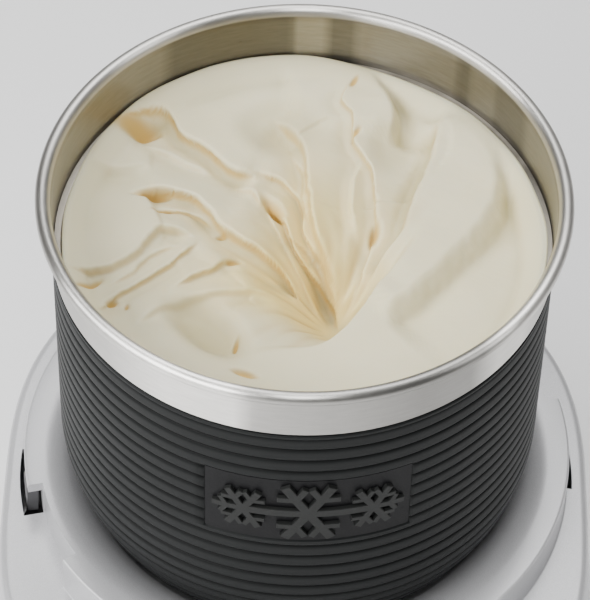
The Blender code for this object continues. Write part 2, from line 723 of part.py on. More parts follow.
def gearbox():
    """Tray, cover, bushes, axle, stand-off posts and screws."""
    outline = gearbox_outline(GEARBOX_SPACE + GEARBOX_WALL, True)
    bush_outer = SHAFT_RADIUS + GAP + BUSH_WALL
    tray = add("gearbox_tray", prism(outline, GEARBOX_BOTTOM, GEARBOX_TOP - GAP), "grey_plastic")
    cut(tray, prism(gearbox_outline(GEARBOX_SPACE, False), GEARBOX_FLOOR, COVER_TOP), "gear_chamber")
    low = GEARBOX_BOTTOM - 1 * MM
    high = COVER_TOP + 1 * MM
    cover = add("gearbox_cover", prism(outline, GEARBOX_TOP, COVER_TOP), "grey_plastic")
    spindle = (0, 0)
    for piece, name, radius, place, start, end in (
        (tray, "lower_bush_hole", bush_outer + GAP, spindle, low, GEARBOX_FLOOR + 1 * MM),
        (tray, "axle_hole", AXLE_RADIUS + GAP, IDLER_PLACE, low, GEARBOX_FLOOR + 1 * MM),
        (tray, "motor_hole", PINION_HOLE_RADIUS, MOTOR_PLACE, low, GEARBOX_FLOOR + 1 * MM),
        (cover, "upper_bush_hole", bush_outer + GAP, spindle, GEARBOX_TOP - 1 * MM, high),
        (cover, "axle_seat", AXLE_RADIUS + GAP, IDLER_PLACE, GEARBOX_TOP - 1 * MM, high),
    ):
        cut(piece, turned(capped(radius, start, end), SMALL_ROUND, place), name)
    bore = SHAFT_RADIUS + GAP
    add("lower_bush", tube(bush_outer, bore, GEARBOX_BOTTOM - 0.5 * MM, GEARBOX_FLOOR + 1.5 * MM), "bronze")
    add("upper_bush", tube(bush_outer, bore, GEARBOX_TOP - 0.8 * MM, COVER_TOP + 3 * MM), "bronze")
    axle = axis_empty("axle_axis", IDLER_PLACE)
    add("idler_axle", rod(AXLE_RADIUS, GEARBOX_BOTTOM, COVER_TOP, TINY_ROUND * 2), "steel", axle)
    seal_outer = SHAFT_RADIUS + 2 * BUSH_WALL - GAP
    add("shaft_seal", tube(seal_outer, bore, WELL_FLOOR - WALL, WELL_FLOOR + 1.2 * MM), "rubber")
    for k, place in enumerate(ear_places()):
        for piece, name in ((tray, "tray"), (cover, "cover")):
            hole = turned(capped(SCREW_RADIUS + GAP, low, high), TINY_ROUND, place)
            cut(piece, hole, f"{name}_screw_hole_{k + 1}")
        length = COVER_TOP - GEARBOX_BOTTOM + 8 * MM
        add(f"gearbox_screw_{k + 1}", screw(place, COVER_TOP + GAP, 1, length), "steel")
        post = [
            (POST_RADIUS, PLATE_TOP + GAP),
            (POST_RADIUS, GEARBOX_BOTTOM - GAP),
            (SCREW_RADIUS + GAP, GEARBOX_BOTTOM - GAP),
            (SCREW_RADIUS + GAP, GEARBOX_BOTTOM - 10 * MM),
            (0, GEARBOX_BOTTOM - 10 * MM),
        ]
        add(f"gearbox_post_{k + 1}", turned([(0, PLATE_TOP + GAP), *post], TINY_ROUND, place), "steel")


def rim_roll():
    """The rolled edge, from the inner wall over the top and back to the band's outside."""
    centre = (BOWL_RADIUS + RIM_ROLL_RADIUS, RIM)
    return arc(centre, RIM_ROLL_RADIUS, 180, -90, 5)


def bowl_body():
    """Double-walled freezer bowl: shell, cup, gel between them, grip sleeve, badge and drive socket."""
    axis = axis_empty("bowl_axis", (0, 0, 0))
    skin = SLEEVE_THICKNESS + GAP
    sleeve_top = LEDGE - 0.8 * MM
    side = BOWL_RADIUS - skin
    outside = sleeve_profile(skin, sleeve_top, SEAT + SLEEVE_THICKNESS + GAP)
    inside = sleeve_profile(skin + SHEET, sleeve_top, SEAT + SLEEVE_THICKNESS + GAP + SHEET)
    push_up = SEAT + SOCKET_DEPTH
    shell = [(0, push_up), (SOCKET_RADIUS, push_up), (SOCKET_RADIUS, outside[0][1])]
    shell += outside
    shell += [(BOWL_RADIUS, LEDGE), (BOWL_RADIUS, RIM - RIM_ROLL_RADIUS)]
    shell += [point for point in reversed(rim_roll())][1:]
    shell += [(BOWL_RADIUS - SHEET, RIM - RIM_ROLL_RADIUS), (BOWL_RADIUS - SHEET, LEDGE)]
    shell += [(side - SHEET, LEDGE - SHEET)]
    shell += list(reversed(inside))[1:]
    wall = SOCKET_RADIUS + SHEET
    shell += [(wall, inside[0][1]), (wall, push_up + SHEET), (0, push_up + SHEET)]
    add("bowl_shell", turned(shell), "brushed_steel", axis)

    flange = BOWL_RADIUS - SHEET - GAP
    flange_low = LEDGE + GAP
    shoulder = CUP_RADIUS - CUP_TAPER / 2
    shoulder_height = LEDGE - CUP_SHOULDER_DROP
    floor = SEAT + CUP_FLOOR_RISE
    corner = (CUP_RADIUS - CUP_TAPER - CUP_CORNER_RADIUS, floor + CUP_CORNER_RADIUS)
    inner_corner = arc(corner, CUP_CORNER_RADIUS, -90, 0, 3)
    outer_corner = arc(corner, CUP_CORNER_RADIUS + SHEET, 0, -90, 3)
    cup = [(0, floor), *inner_corner, (shoulder, shoulder_height), (CUP_RADIUS, LEDGE - 1 * MM)]
    cup += [(CUP_RADIUS, flange_low + SHEET), (flange, flange_low + SHEET), (flange, flange_low)]
    cup += [(CUP_RADIUS + SHEET, flange_low), (CUP_RADIUS + SHEET, LEDGE - 1.2 * MM)]
    cup += [(shoulder + SHEET, shoulder_height)]
    cup += [*outer_corner, (0, floor - SHEET)]
    add("inner_cup", turned(cup), "brushed_steel", axis)

    gel_corner = arc(corner, CUP_CORNER_RADIUS + SHEET + GAP, -90, 0, 3)
    gel_inset = skin + SHEET + GAP
    gel_bottom = SEAT + SLEEVE_THICKNESS + GAP + SHEET + GAP
    gel_top = shoulder_height - 4 * MM
    gel_outside = sleeve_profile(gel_inset, gel_top, gel_bottom)
    gel = [(0, push_up + SHEET + GAP), (SOCKET_RADIUS + SHEET + GAP, push_up + SHEET + GAP)]
    gel += [(SOCKET_RADIUS + SHEET + GAP, gel_bottom), *gel_outside]
    gel += [(shoulder + SHEET + GAP, gel_top), *reversed(gel_corner), (0, floor - SHEET - GAP)]
    add("coolant_gel", turned(gel), "coolant", axis)

    hole = SOCKET_RADIUS + SOCKET_FLANGE + GAP
    sleeve_out = sleeve_profile(0, LEDGE - GAP, SEAT)
    sleeve_in = sleeve_profile(SLEEVE_THICKNESS, LEDGE - GAP - SLEEVE_THICKNESS, SEAT + SLEEVE_THICKNESS)
    sleeve_lip = LEDGE - GAP - 1.2 * MM
    sleeve = [(hole, SEAT), *sleeve_out[:-1], (BOWL_RADIUS, sleeve_lip)]
    sleeve += [(BOWL_RADIUS - SLEEVE_THICKNESS, sleeve_lip), *reversed(sleeve_in[:-1])]
    sleeve += [(hole, SEAT + SLEEVE_THICKNESS)]
    grip = add("bowl_sleeve", turned(sleeve), "dark_grip", axis)
    badge(grip, axis)

    socket_top = push_up - GAP
    flange_top = SEAT + SLEEVE_THICKNESS
    socket = [
        (SOCKET_RADIUS + SOCKET_FLANGE, SEAT),
        (SOCKET_RADIUS + SOCKET_FLANGE, flange_top),
        (SOCKET_RADIUS - GAP, flange_top),
        (SOCKET_RADIUS - GAP, socket_top),
        (SOCKET_BORE, socket_top),
        (SOCKET_BORE, SEAT),
    ]
    foot = add("drive_socket", turned(socket), "black_plastic", axis)
    for k in range(4):
        near = (LUG_REACH - 5 * MM, -LUG_WIDTH / 2, SEAT)
        rib = block(near, (SOCKET_BORE + 2 * MM, LUG_WIDTH / 2, socket_top), 0)
        bmesh.ops.rotate(rib, matrix=Matrix.Rotation(math.radians(45 + 90 * k), 3, "Z"), verts=rib.verts)
        join(foot, rib, f"socket_rib_{k + 1}", axis)


def badge(grip, axis):
    """A plate let into the sleeve's front, and the emblem raised on it."""
    front = -90 + BADGE_ANGLE
    start = front - BADGE_SPREAD / 2
    end = front + BADGE_SPREAD / 2
    high = RIM - BADGE_DROP
    low = high - BADGE_HEIGHT
    bed = BOWL_RADIUS - BADGE_POCKET
    cut(grip, sector(bed, BOWL_RADIUS + 3 * MM, start, end, low, high), "badge_pocket", axis)
    margin = math.degrees(GAP / BOWL_RADIUS)
    face = bed + GAP + BADGE_THICKNESS
    plate = sector(bed + GAP, face, start + margin, end - margin, low + GAP, high - GAP)
    add("badge_plate", plate, "badge_dark", axis)
    arms = [(60 * k, EMBLEM_REACH if k % 3 == 0 else EMBLEM_ARM) for k in range(6)]
    outline = star(EMBLEM_BAR * 2, arms, EMBLEM_BAR)
    emblem = prism(outline, face + GAP, face + GAP + EMBLEM_HEIGHT)
    middle = (high + low) / 2
    bmesh.ops.subdivide_edges(
        emblem,
        edges=[edge for edge in emblem.edges if edge.calc_length() > EMBLEM_REACH / 2],
        cuts=6,
    )
    for vert in emblem.verts:
        along, up, radius = vert.co
        angle = front + math.degrees(along / face)
        vert.co = polar(radius, angle) + Vector((0, 0, middle + up))
    add("badge_emblem", emblem, "badge_light", axis)


def fill_height(x, y):
    """The contents' surface: nearly level at the wall, with a scooped vortex near the middle."""
    reach = math.hypot(x - VORTEX_PLACE[0], y - VORTEX_PLACE[1]) / VORTEX_WIDTH
    wave = 1.5 * MM * math.cos(2 * math.atan2(y, x) - 1)
    return RIM - FILL_DROP - VORTEX_DEPTH * math.exp(-reach * reach) + wave * min(1, reach / 3)


def contents():
    """Churned ice cream that fills the cup, as one plain removable solid."""
    axis = axis_empty("contents_axis", (0, 0, 0))
    floor = SEAT + CUP_FLOOR_RISE + GAP
    side = CUP_RADIUS - GAP
    shoulder = side - CUP_TAPER / 2
    shoulder_height = LEDGE - CUP_SHOULDER_DROP
    corner = (side - CUP_TAPER - CUP_CORNER_RADIUS, floor + CUP_CORNER_RADIUS)
    bm = bmesh.new()
    rings = [[bm.verts.new((0, 0, floor))]]
    for radius, height in [*arc(corner, CUP_CORNER_RADIUS, -90, 0, 3), (shoulder, shoulder_height)]:
        points = [polar(radius, 360 * i / ROUND) for i in range(ROUND)]
        rings.append([bm.verts.new((x, y, height)) for x, y, _ in points])
    edge = []
    for i in range(ROUND):
        angle = 360 * i / ROUND
        height = fill_height(*polar(side, angle)[:2])
        share = (height - shoulder_height) / (LEDGE - 1 * MM - shoulder_height)
        edge.append(polar(shoulder + (side - shoulder) * share, angle) + Vector((0, 0, height)))
    rings.append([bm.verts.new(point) for point in edge])
    for share in (0.84, 0.66, 0.48, 0.32, 0.16):
        inner = []
        for point in edge:
            x = VORTEX_PLACE[0] * (1 - share) + point.x * share
            y = VORTEX_PLACE[1] * (1 - share) + point.y * share
            inner.append(bm.verts.new((x, y, fill_height(x, y))))
        rings.append(inner)
    rings.append([bm.verts.new((*VORTEX_PLACE, fill_height(*VORTEX_PLACE)))])
    bridge(bm, rings, closed=False)
    add("ice_cream", bm, "cream", axis)


def power_switch(housing):
    """A rocker in a bezel on the sloping front wall, with its contact block behind."""
    slope = math.atan2(SIDE_FLARE, DECK_HEIGHT - FOOT_HEIGHT)
    wall = half_width_at(SWITCH_HEIGHT)
    place = Vector((0, -wall, SWITCH_HEIGHT))
    face = axis_empty("switch_face", place, (-slope, 0, 0))
    half_x = SWITCH_WIDTH / 2
    half_z = ROCKER_RADIUS + 0.5 * MM
    hole_x = half_x + 1.5 * MM
    hole_z = half_z + 1.5 * MM
    hole = block((-hole_x, -4 * MM, -hole_z), (hole_x, 8 * MM, hole_z), 0)
    cut(housing, hole, "switch_opening", face)
    outer_x = half_x + BEZEL_MARGIN
    outer_z = half_z + BEZEL_MARGIN
    bezel = add(
        "switch_bezel",
        block((-outer_x, -BEZEL_THICKNESS - GAP, -outer_z), (outer_x, -GAP, outer_z), 0.5 * MM),
        "black_plastic",
        face,
    )
    frame_x = hole_x - GAP
    frame_z = hole_z - GAP
    frame = block((-frame_x, -0.8 * MM, -frame_z), (frame_x, 7 * MM, frame_z), 0)
    join(bezel, frame, "bezel_frame", face)
    window = block((-half_x, -5 * MM, -half_z), (half_x, 9 * MM, half_z), 0)
    cut(bezel, window, "bezel_window", face)
    pivot_depth = 4.5 * MM
    contact_low = pivot_depth + ROCKER_RADIUS + 2 * MM
    contact = block((-half_x, contact_low, -half_z), (half_x, contact_low + 12 * MM, half_z))
    add("switch_contacts", contact, "grey_plastic", face)

    pivot = axis_empty("rocker_axis", (0, pivot_depth, 0), (math.radians(ROCKER_TILT), 0, 0))
    pivot.parent = face
    upper = arc((0, 0), ROCKER_RADIUS, 140, 60, 4)
    lower = [(depth, -height) for depth, height in reversed(upper)]
    front = -ROCKER_RADIUS - 1.2 * MM
    outline = [(front + 1.4 * MM, 0), (front + 0.6 * MM, ROCKER_RADIUS * 0.62), *upper, *lower]
    outline += [(front + 0.6 * MM, -ROCKER_RADIUS * 0.62)]
    rocker = prism([(depth, height) for depth, height in outline], -half_x + 0.5 * MM, half_x - 0.5 * MM)
    turn = Matrix(((0, 0, 1), (1, 0, 0), (0, 1, 0)))
    bmesh.ops.transform(rocker, matrix=turn.to_4x4(), verts=rocker.verts)
    add("power_rocker", rocker, "black_plastic", pivot)


def cord_gland(housing):
    """The lead's empty gland in the rear wall, and the terminal block inside."""
    slope = math.atan2(SIDE_FLARE, DECK_HEIGHT - FOOT_HEIGHT)
    wall = half_width_at(GLAND_HEIGHT)
    face = axis_empty("gland_face", (0, wall, GLAND_HEIGHT), (slope - math.pi / 2, 0, 0))
    cut(housing, turned(capped(GLAND_RADIUS + GAP, -8 * MM, 4 * MM), SMALL_ROUND), "gland_hole", face)
    flange = GLAND_RADIUS + 2 * MM
    profile = [
        (GLAND_RADIUS, -6 * MM),
        (GLAND_RADIUS, GAP),
        (flange, GAP),
        (flange, 1 * MM),
        (flange - 1 * MM, 1.8 * MM),
        (CORD_RADIUS + 1 * MM, 1.8 * MM),
        (CORD_RADIUS, 1 * MM),
        (CORD_RADIUS, -6 * MM),
    ]
    add("cord_gland", turned(profile, SMALL_ROUND), "black_plastic", face)
    low = (-12 * MM, wall - WALL - 24 * MM, PLATE_TOP + GAP)
    high = (12 * MM, wall - WALL - 12 * MM, PLATE_TOP + 12 * MM)
    add("terminal_block", block(low, high), "white_gear")


def lid_interlock():
    """A sprung plunger in the left slot, which the lid's tab presses, over its switch."""
    axis = axis_empty("plunger_axis", (0, 0, 0), (0, 0, math.radians(PLUNGER_ANGLE)))
    inner = COLLAR_RADIUS - RECESS_DEPTH + 2 * GAP + 0.5 * MM
    outer = COLLAR_RADIUS + SLOT_REACH - 2 * GAP - 0.4 * MM
    half = PLUNGER_WIDTH / 2
    top = COLLAR_TOP - SLOT_LEDGE - PLUNGER_TRAVEL
    low = DECK_HEIGHT - WALL - PLUNGER_TRAVEL
    plunger = block((inner, -half, low), (outer, half, top), 0.6 * MM)
    add("interlock_plunger", plunger, "grey_plastic", axis)
    switch_top = low - PLUNGER_TRAVEL - GAP
    switch = block((inner - 3 * MM, -10 * MM, switch_top - 11 * MM), (outer, 10 * MM, switch_top))
    add("interlock_switch", switch, "black_plastic", axis)


def main():
    for obj in list(bpy.data.objects):
        bpy.data.objects.remove(obj)
    housing = upper_housing()
    bottom_plate()
    feet_and_screws()
    gearbox()
    motor()
    turntable_body()
    idler_body()
    rotor_body()
    bowl_body()
    contents()
    power_switch(housing)
    cord_gland(housing)
    lid_interlock()


main()
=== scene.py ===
"""Looks of the ice cream maker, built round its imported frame. Metres, +Z up, front facing -Y."""

import json
import math

import bmesh
import bpy
import numpy as np
from mathutils import Matrix, Vector


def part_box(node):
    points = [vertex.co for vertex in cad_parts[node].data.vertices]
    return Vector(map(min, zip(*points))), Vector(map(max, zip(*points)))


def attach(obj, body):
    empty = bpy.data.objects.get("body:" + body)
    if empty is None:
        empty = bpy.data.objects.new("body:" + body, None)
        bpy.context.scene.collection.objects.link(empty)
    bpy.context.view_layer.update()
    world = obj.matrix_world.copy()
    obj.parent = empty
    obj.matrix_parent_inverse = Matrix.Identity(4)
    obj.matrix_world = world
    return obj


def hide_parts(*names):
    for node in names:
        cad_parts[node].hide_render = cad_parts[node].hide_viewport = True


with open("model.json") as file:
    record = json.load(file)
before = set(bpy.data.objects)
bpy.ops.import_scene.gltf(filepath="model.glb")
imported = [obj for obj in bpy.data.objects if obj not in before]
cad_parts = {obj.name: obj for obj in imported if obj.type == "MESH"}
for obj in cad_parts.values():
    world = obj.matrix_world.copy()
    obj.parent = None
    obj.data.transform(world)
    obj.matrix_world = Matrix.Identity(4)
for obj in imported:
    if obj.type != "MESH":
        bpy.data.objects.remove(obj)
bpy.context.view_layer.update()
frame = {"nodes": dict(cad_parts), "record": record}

MM = 0.001

# Heights and radii read from the frame
SHELL_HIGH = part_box("bowl_shell")[1]
SLEEVE_LOW, SLEEVE_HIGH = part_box("bowl_sleeve")
CUP_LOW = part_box("inner_cup")[0]
CREAM_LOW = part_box("ice_cream")[0]
HOUSING_LOW, HOUSING_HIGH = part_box("upper_housing")
PLATE_LOW, PLATE_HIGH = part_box("badge_plate")

# Sizes that no box gives
ROLL = 2.5 * MM
RIM_RADIUS = SHELL_HIGH[0]
BOWL_RADIUS = RIM_RADIUS - 2 * ROLL
RIM = SHELL_HIGH[2] - ROLL
LEDGE = SLEEVE_HIGH[2] + 1.5 * MM
SEAT = SLEEVE_LOW[2]
SHEET = 0.7 * MM
SLEEVE = 1.9 * MM
GAP = 0.3 * MM
CORNER = 62 * MM
SOCKET = 33 * MM
SOCKET_FLANGE = 10.5 * MM
CUP_CORNER = 24 * MM
CUP_SHOULDER = LEDGE - 12 * MM

COLLAR_TOP = HOUSING_HIGH[2]
COLLAR_RADIUS = BOWL_RADIUS + 15 * MM
DECK = COLLAR_TOP - 17.4 * MM
HALF_FOOT = HOUSING_HIGH[0]
HALF_TOP = HALF_FOOT - 11.3 * MM
FOOT_HEIGHT = HOUSING_LOW[2]


# ---------------------------------------------------------------- camera, light and floor

CAMERA_PLACE = Vector((0, -0.762, 1.0993))
CAMERA_AIM = Vector((-0.0024, 0, 0.2127))
CAMERA_ROLL = 1.66
CAMERA_LENS = 192
LIGHT_DISTANCE = 1.5
LIGHT_AIM = Vector((0, 0, 0.2))
ROOM_STRENGTH = 0.17
# Area lights on a sphere round the bowl: name, azimuth, elevation, size, power
SOFTBOXES = [
    ("left_key", -150, 38, (2.0, 0.8), 40),
    ("camera_strip", -89, 66, (0.24, 0.7), 7),
    ("right_fill", -15, 40, (0.5, 0.8), 4),
    ("back_top", 78, 64, (1.1, 0.8), 15),
]


def aimed(place, aim):
    """The matrix that puts a camera or light at a place and turns it to an aim."""
    return Matrix.Translation(place) @ (aim - place).to_track_quat("-Z", "Y").to_matrix().to_4x4()


def add_camera():
    """A long lens from in front and above, tipped a little to one side."""
    data = bpy.data.cameras.new("camera")
    data.lens = CAMERA_LENS
    data.sensor_width = 36
    data.clip_end = 20
    camera = bpy.data.objects.new("camera", data)
    bpy.context.collection.objects.link(camera)
    camera.matrix_world = aimed(CAMERA_PLACE, CAMERA_AIM) @ Matrix.Rotation(math.radians(CAMERA_ROLL), 4, "Z")
    bpy.context.scene.camera = camera


def softbox(name, azimuth, elevation, size, power):
    """An area light that faces the bowl."""
    data = bpy.data.lights.new(name, "AREA")
    data.shape = "RECTANGLE"
    data.size, data.size_y = size
    data.energy = power
    light = bpy.data.objects.new(name, data)
    bpy.context.collection.objects.link(light)
    a, e = math.radians(azimuth), math.radians(elevation)
    outward = Vector((math.cos(a) * math.cos(e), math.sin(a) * math.cos(e), math.sin(e)))
    light.matrix_world = aimed(LIGHT_AIM + LIGHT_DISTANCE * outward, LIGHT_AIM)


def add_studio():
    """Dim white room with softboxes, and a pale floor."""
    world = bpy.data.worlds.new("studio")
    world.use_nodes = True
    background = world.node_tree.nodes["Background"]
    background.inputs["Color"].default_value = (1, 1, 1, 1)
    background.inputs["Strength"].default_value = ROOM_STRENGTH
    bpy.context.scene.world = world
    for settings in SOFTBOXES:
        softbox(*settings)
    bm = bmesh.new()
    bmesh.ops.create_grid(bm, x_segments=1, y_segments=1, size=6)
    material, _ = principled("pale_floor", (0.95, 0.95, 0.95), 0.6)
    finish_mesh("floor", bm, material)


# ---------------------------------------------------------------- materials

def principled(name, colour, roughness, metallic=0.0, **extra):
    """A Principled material; extra holds further socket values, such as coat_weight=0.2."""
    material = bpy.data.materials.new(name)
    material.use_nodes = True
    shader = material.node_tree.nodes["Principled BSDF"]
    shader.inputs["Base Color"].default_value = (*colour, 1)
    shader.inputs["Roughness"].default_value = roughness
    shader.inputs["Metallic"].default_value = metallic
    for key, value in extra.items():
        socket = shader.inputs[key.replace("_", " ").title().replace("Ior", "IOR")]
        socket.default_value = value
    return material, shader


class Nodes:
    """Adds shader nodes to one material and links them."""

    def __init__(self, material):
        self.tree = material.node_tree
        self.shader = self.tree.nodes["Principled BSDF"]

    def add(self, kind, **settings):
        node = self.tree.nodes.new(kind)
        for key, value in settings.items():
            setattr(node, key, value)
        return node

    def link(self, source, target):
        self.tree.links.new(source, target)

    def object_coords(self, scale=(1, 1, 1)):
        coords = self.add("ShaderNodeTexCoord")
        mapping = self.add("ShaderNodeMapping")
        mapping.inputs["Scale"].default_value = scale
        self.link(coords.outputs["Object"], mapping.inputs["Vector"])
        return mapping.outputs["Vector"]

    def noise(self, vector, scale, detail=3.0, roughness=0.5):
        node = self.add("ShaderNodeTexNoise")
        node.inputs["Scale"].default_value = scale
        node.inputs["Detail"].default_value = detail
        node.inputs["Roughness"].default_value = roughness
        self.link(vector, node.inputs["Vector"])
        return node.outputs["Fac"]

    def ramp(self, factor, low, high, start=0.0, end=1.0):
        """Maps a value onto a range of values."""
        node = self.add("ShaderNodeMapRange")
        node.inputs["From Min"].default_value = start
        node.inputs["From Max"].default_value = end
        node.inputs["To Min"].default_value = low
        node.inputs["To Max"].default_value = high
        self.link(factor, node.inputs["Value"])
        return node.outputs["Result"]

    def mix(self, factor, first, second):
        """A colour mix; each colour is a tuple or a socket."""
        node = self.add("ShaderNodeMix", data_type="RGBA")
        self.link(factor, node.inputs["Factor"])
        for socket, value in ((node.inputs[6], first), (node.inputs[7], second)):
            if isinstance(value, tuple):
                socket.default_value = (*value, 1)
            else:
                self.link(value, socket)
        return node.outputs[2]

    def math(self, operation, first, second=None):
        node = self.add("ShaderNodeMath", operation=operation)
        for socket, value in zip(node.inputs, (first, second)):
            if value is None:
                continue
            if isinstance(value, (int, float)):
                socket.default_value = value
            else:
                self.link(value, socket)
        return node.outputs[0]

    def bump(self, height, distance, strength=1.0, normal=None):
        node = self.add("ShaderNodeBump")
        node.inputs["Distance"].default_value = distance
        node.inputs["Strength"].default_value = strength
        self.link(height, node.inputs["Height"])
        if normal:
            self.link(normal, node.inputs["Normal"])
        return node.outputs["Normal"]

    def sheen(self, turn, stops):
        """Brightness along a turn from -180 to 180 degrees, blended between its stops."""
        node = self.add("ShaderNodeValToRGB")
        elements = node.color_ramp.elements
        while len(elements) < len(stops):
            elements.new(0.5)
        for element, (degrees, share) in zip(elements, stops):
            element.position = (degrees + 180) / 360
            element.color = (share, share, share, 1)
        self.link(turn, node.inputs["Fac"])
        return node.outputs["Color"]

    def shades(self, colour, brightness):
        node = self.add("ShaderNodeMix", data_type="RGBA", blend_type="MULTIPLY")
        node.inputs["Factor"].default_value = 1
        self.link(colour, node.inputs[6])
        self.link(brightness, node.inputs[7])
        return node.outputs[2]

    def attribute(self, name):
        return self.add("ShaderNodeAttribute", attribute_name=name).outputs["Fac"]


def moulded(name, colour, roughness, grain=900, depth=0.03 * MM, gloss=0.5):
    """Moulded surface: fine grain, with slow changes of colour and gloss."""
    material, shader = principled(name, colour, roughness, specular_ior_level=gloss)
    nodes = Nodes(material)
    coords = nodes.object_coords()
    slow = nodes.noise(coords, 18, 2)
    darker = tuple(c * 0.86 for c in colour)
    nodes.link(nodes.mix(slow, darker, colour), shader.inputs["Base Color"])
    fine = nodes.noise(coords, grain, 2)
    nodes.link(nodes.ramp(fine, roughness - 0.06, roughness + 0.08), shader.inputs["Roughness"])
    nodes.link(nodes.bump(fine, depth), shader.inputs["Normal"])
    return material


def machined(name, colour, roughness, rings=1600):
    """Bare metal with fine rings of tool marks and slight tarnish."""
    material, shader = principled(name, colour, roughness, 1.0)
    nodes = Nodes(material)
    marks = nodes.noise(nodes.object_coords((0.15, 0.15, 1)), rings, 2)
    tarnish = nodes.noise(nodes.object_coords(), 60, 4)
    darker = tuple(c * 0.75 for c in colour)
    nodes.link(nodes.mix(tarnish, darker, colour), shader.inputs["Base Color"])
    nodes.link(nodes.ramp(marks, roughness - 0.08, roughness + 0.12), shader.inputs["Roughness"])
    nodes.link(nodes.bump(marks, 0.02 * MM), shader.inputs["Normal"])
    return material


# Painted brightness round the bowl, for a studio's reflections: (degrees from +X, share)
OUTER_SHEEN = (
    (-180, 0.9), (-148, 0.9), (-137, 1.0), (-129, 1.3), (-120, 1.62), (-104, 1.62), (-99.5, 0.85),
    (-80, 0.72), (-62, 0.5), (-49, 0.55), (-41, 1.4), (-32, 1.62), (-22, 1.2), (0, 1.0), (180, 0.9),
)
INNER_SHEEN = (
    (-180, 1.5), (-90, 1.0), (10, 1.3), (26, 1.2), (29, 0.75), (39, 0.72), (41, 1.05), (47.5, 1.05),
    (48.5, 0.72), (51.5, 0.72), (53, 1.1), (78, 1.2), (80, 0.78), (85, 0.78), (86.5, 1.6), (93, 1.5),
    (94.5, 0.72), (124, 0.7), (128, 1.1), (150, 1.35), (180, 1.5),
)


def brushed_steel(name="brushed_steel", filmed=False):
    """Spun steel: hair-fine lines run round the bowl, so highlights smear up and down."""
    colour = (0.60, 0.585, 0.555)
    material, shader = principled(name, colour, 0.3, 1.0, anisotropic=0.8, anisotropic_rotation=0.25)
    nodes = Nodes(material)
    coords = nodes.add("ShaderNodeTexCoord").outputs["Object"]
    parts = nodes.add("ShaderNodeSeparateXYZ")
    nodes.link(coords, parts.inputs["Vector"])
    x, y, z = parts.outputs
    angle = nodes.math("ARCTAN2", y, x)
    radius = nodes.math("SQRT", nodes.math("ADD", nodes.math("MULTIPLY", x, x), nodes.math("MULTIPLY", y, y)))
    across = nodes.math("ADD", z, nodes.math("MULTIPLY", radius, 1.7))
    line = nodes.add("ShaderNodeCombineXYZ")
    nodes.link(nodes.math("MULTIPLY", angle, 0.012), line.inputs["X"])
    nodes.link(across, line.inputs["Y"])
    hair = nodes.noise(line.outputs["Vector"], 3800, 2)
    streak = nodes.noise(line.outputs["Vector"], 700, 3, 0.65)
    smudge = nodes.noise(coords, 30, 3)
    tone = nodes.mix(streak, tuple(c * 0.8 for c in colour), tuple(min(1, c * 1.18) for c in colour))
    rough = nodes.math("ADD", nodes.ramp(streak, 0.24, 0.38), nodes.ramp(smudge, -0.03, 0.05))
    turn = nodes.ramp(angle, 0, 1, -math.pi, math.pi)
    outer = nodes.shades(tone, nodes.sheen(turn, OUTER_SHEEN))
    # painted shade: the inside wall is the same steel as the outside but coloured darker and yellower,
    # standing in for the shaded contents it mirrors
    inner_wall_painted_shade = nodes.mix(streak, (0.155, 0.145, 0.123), (0.255, 0.242, 0.213))
    inner = nodes.shades(inner_wall_painted_shade, nodes.sheen(turn, INNER_SHEEN))
    inside = nodes.ramp(radius, 1, 0, BOWL_RADIUS - 0.55 * MM, BOWL_RADIUS - 0.25 * MM)
    tone = nodes.mix(inside, outer, inner)
    if filmed:
        # melted contents smeared over the ledge, thicker in some places than in others
        on_ledge = nodes.ramp(radius, 0, 1, 86 * MM, 86.8 * MM)
        patches = nodes.ramp(nodes.noise(coords, 24, 4, 0.6), 0.1, 0.75, 0.38, 0.66)
        film = nodes.math("MULTIPLY", on_ledge, patches)
        tone = nodes.mix(film, tone, (0.55, 0.50, 0.42))
        nodes.link(nodes.math("SUBTRACT", 1.0, film), shader.inputs["Metallic"])
    nodes.link(tone, shader.inputs["Base Color"])
    nodes.link(rough, shader.inputs["Roughness"])
    tangent = nodes.add("ShaderNodeTangent", direction_type="UV_MAP", uv_map="wrap")
    nodes.link(tangent.outputs[0], shader.inputs["Tangent"])
    nodes.link(nodes.bump(hair, 0.01 * MM), shader.inputs["Normal"])
    return material


def satin_silver():
    """Silver lacquer on moulded plastic, with a fine metallic sparkle."""
    colour = (0.60, 0.60, 0.61)
    material, shader = principled("satin_silver", colour, 0.34, 0.35, coat_weight=0.25, coat_roughness=0.18)
    nodes = Nodes(material)
    coords = nodes.object_coords()
    flake = nodes.noise(coords, 5200, 1)
    slow = nodes.noise(coords, 9, 2)
    tone = nodes.mix(nodes.ramp(flake, 0, 1, 0.35, 0.65), (0.50, 0.50, 0.51), (0.63, 0.63, 0.645))
    nodes.link(tone, shader.inputs["Base Color"])
    nodes.link(nodes.ramp(slow, 0.33, 0.4), shader.inputs["Roughness"])
    nodes.link(nodes.bump(nodes.noise(coords, 1400, 2), 0.01 * MM), shader.inputs["Normal"])
    return material


def grip_rubber():
    """Dark soft-touch grip: painted shade keeps the crests a little lighter than the grooves, and a faint
    grain.
    """
    material, shader = principled("grip_rubber", (0.012, 0.0125, 0.013), 0.55, specular_ior_level=0.12)
    nodes = Nodes(material)
    coords = nodes.object_coords()
    painted_groove_shade = nodes.attribute("painted_groove_shade")
    # painted shade: the grooves are coloured near black
    tone = nodes.mix(painted_groove_shade, (0.0125, 0.0137, 0.0137), (0.001, 0.001, 0.001))
    patch = nodes.noise(coords, 35, 3)
    worn = nodes.mix(nodes.ramp(patch, 0, 0.25), tone, (0.017, 0.0185, 0.0185))
    nodes.link(worn, shader.inputs["Base Color"])
    grain = nodes.noise(coords, 1500, 2)
    nodes.link(nodes.ramp(grain, 0.42, 0.56), shader.inputs["Roughness"])
    nodes.link(nodes.bump(grain, 0.03 * MM), shader.inputs["Normal"])
    return material


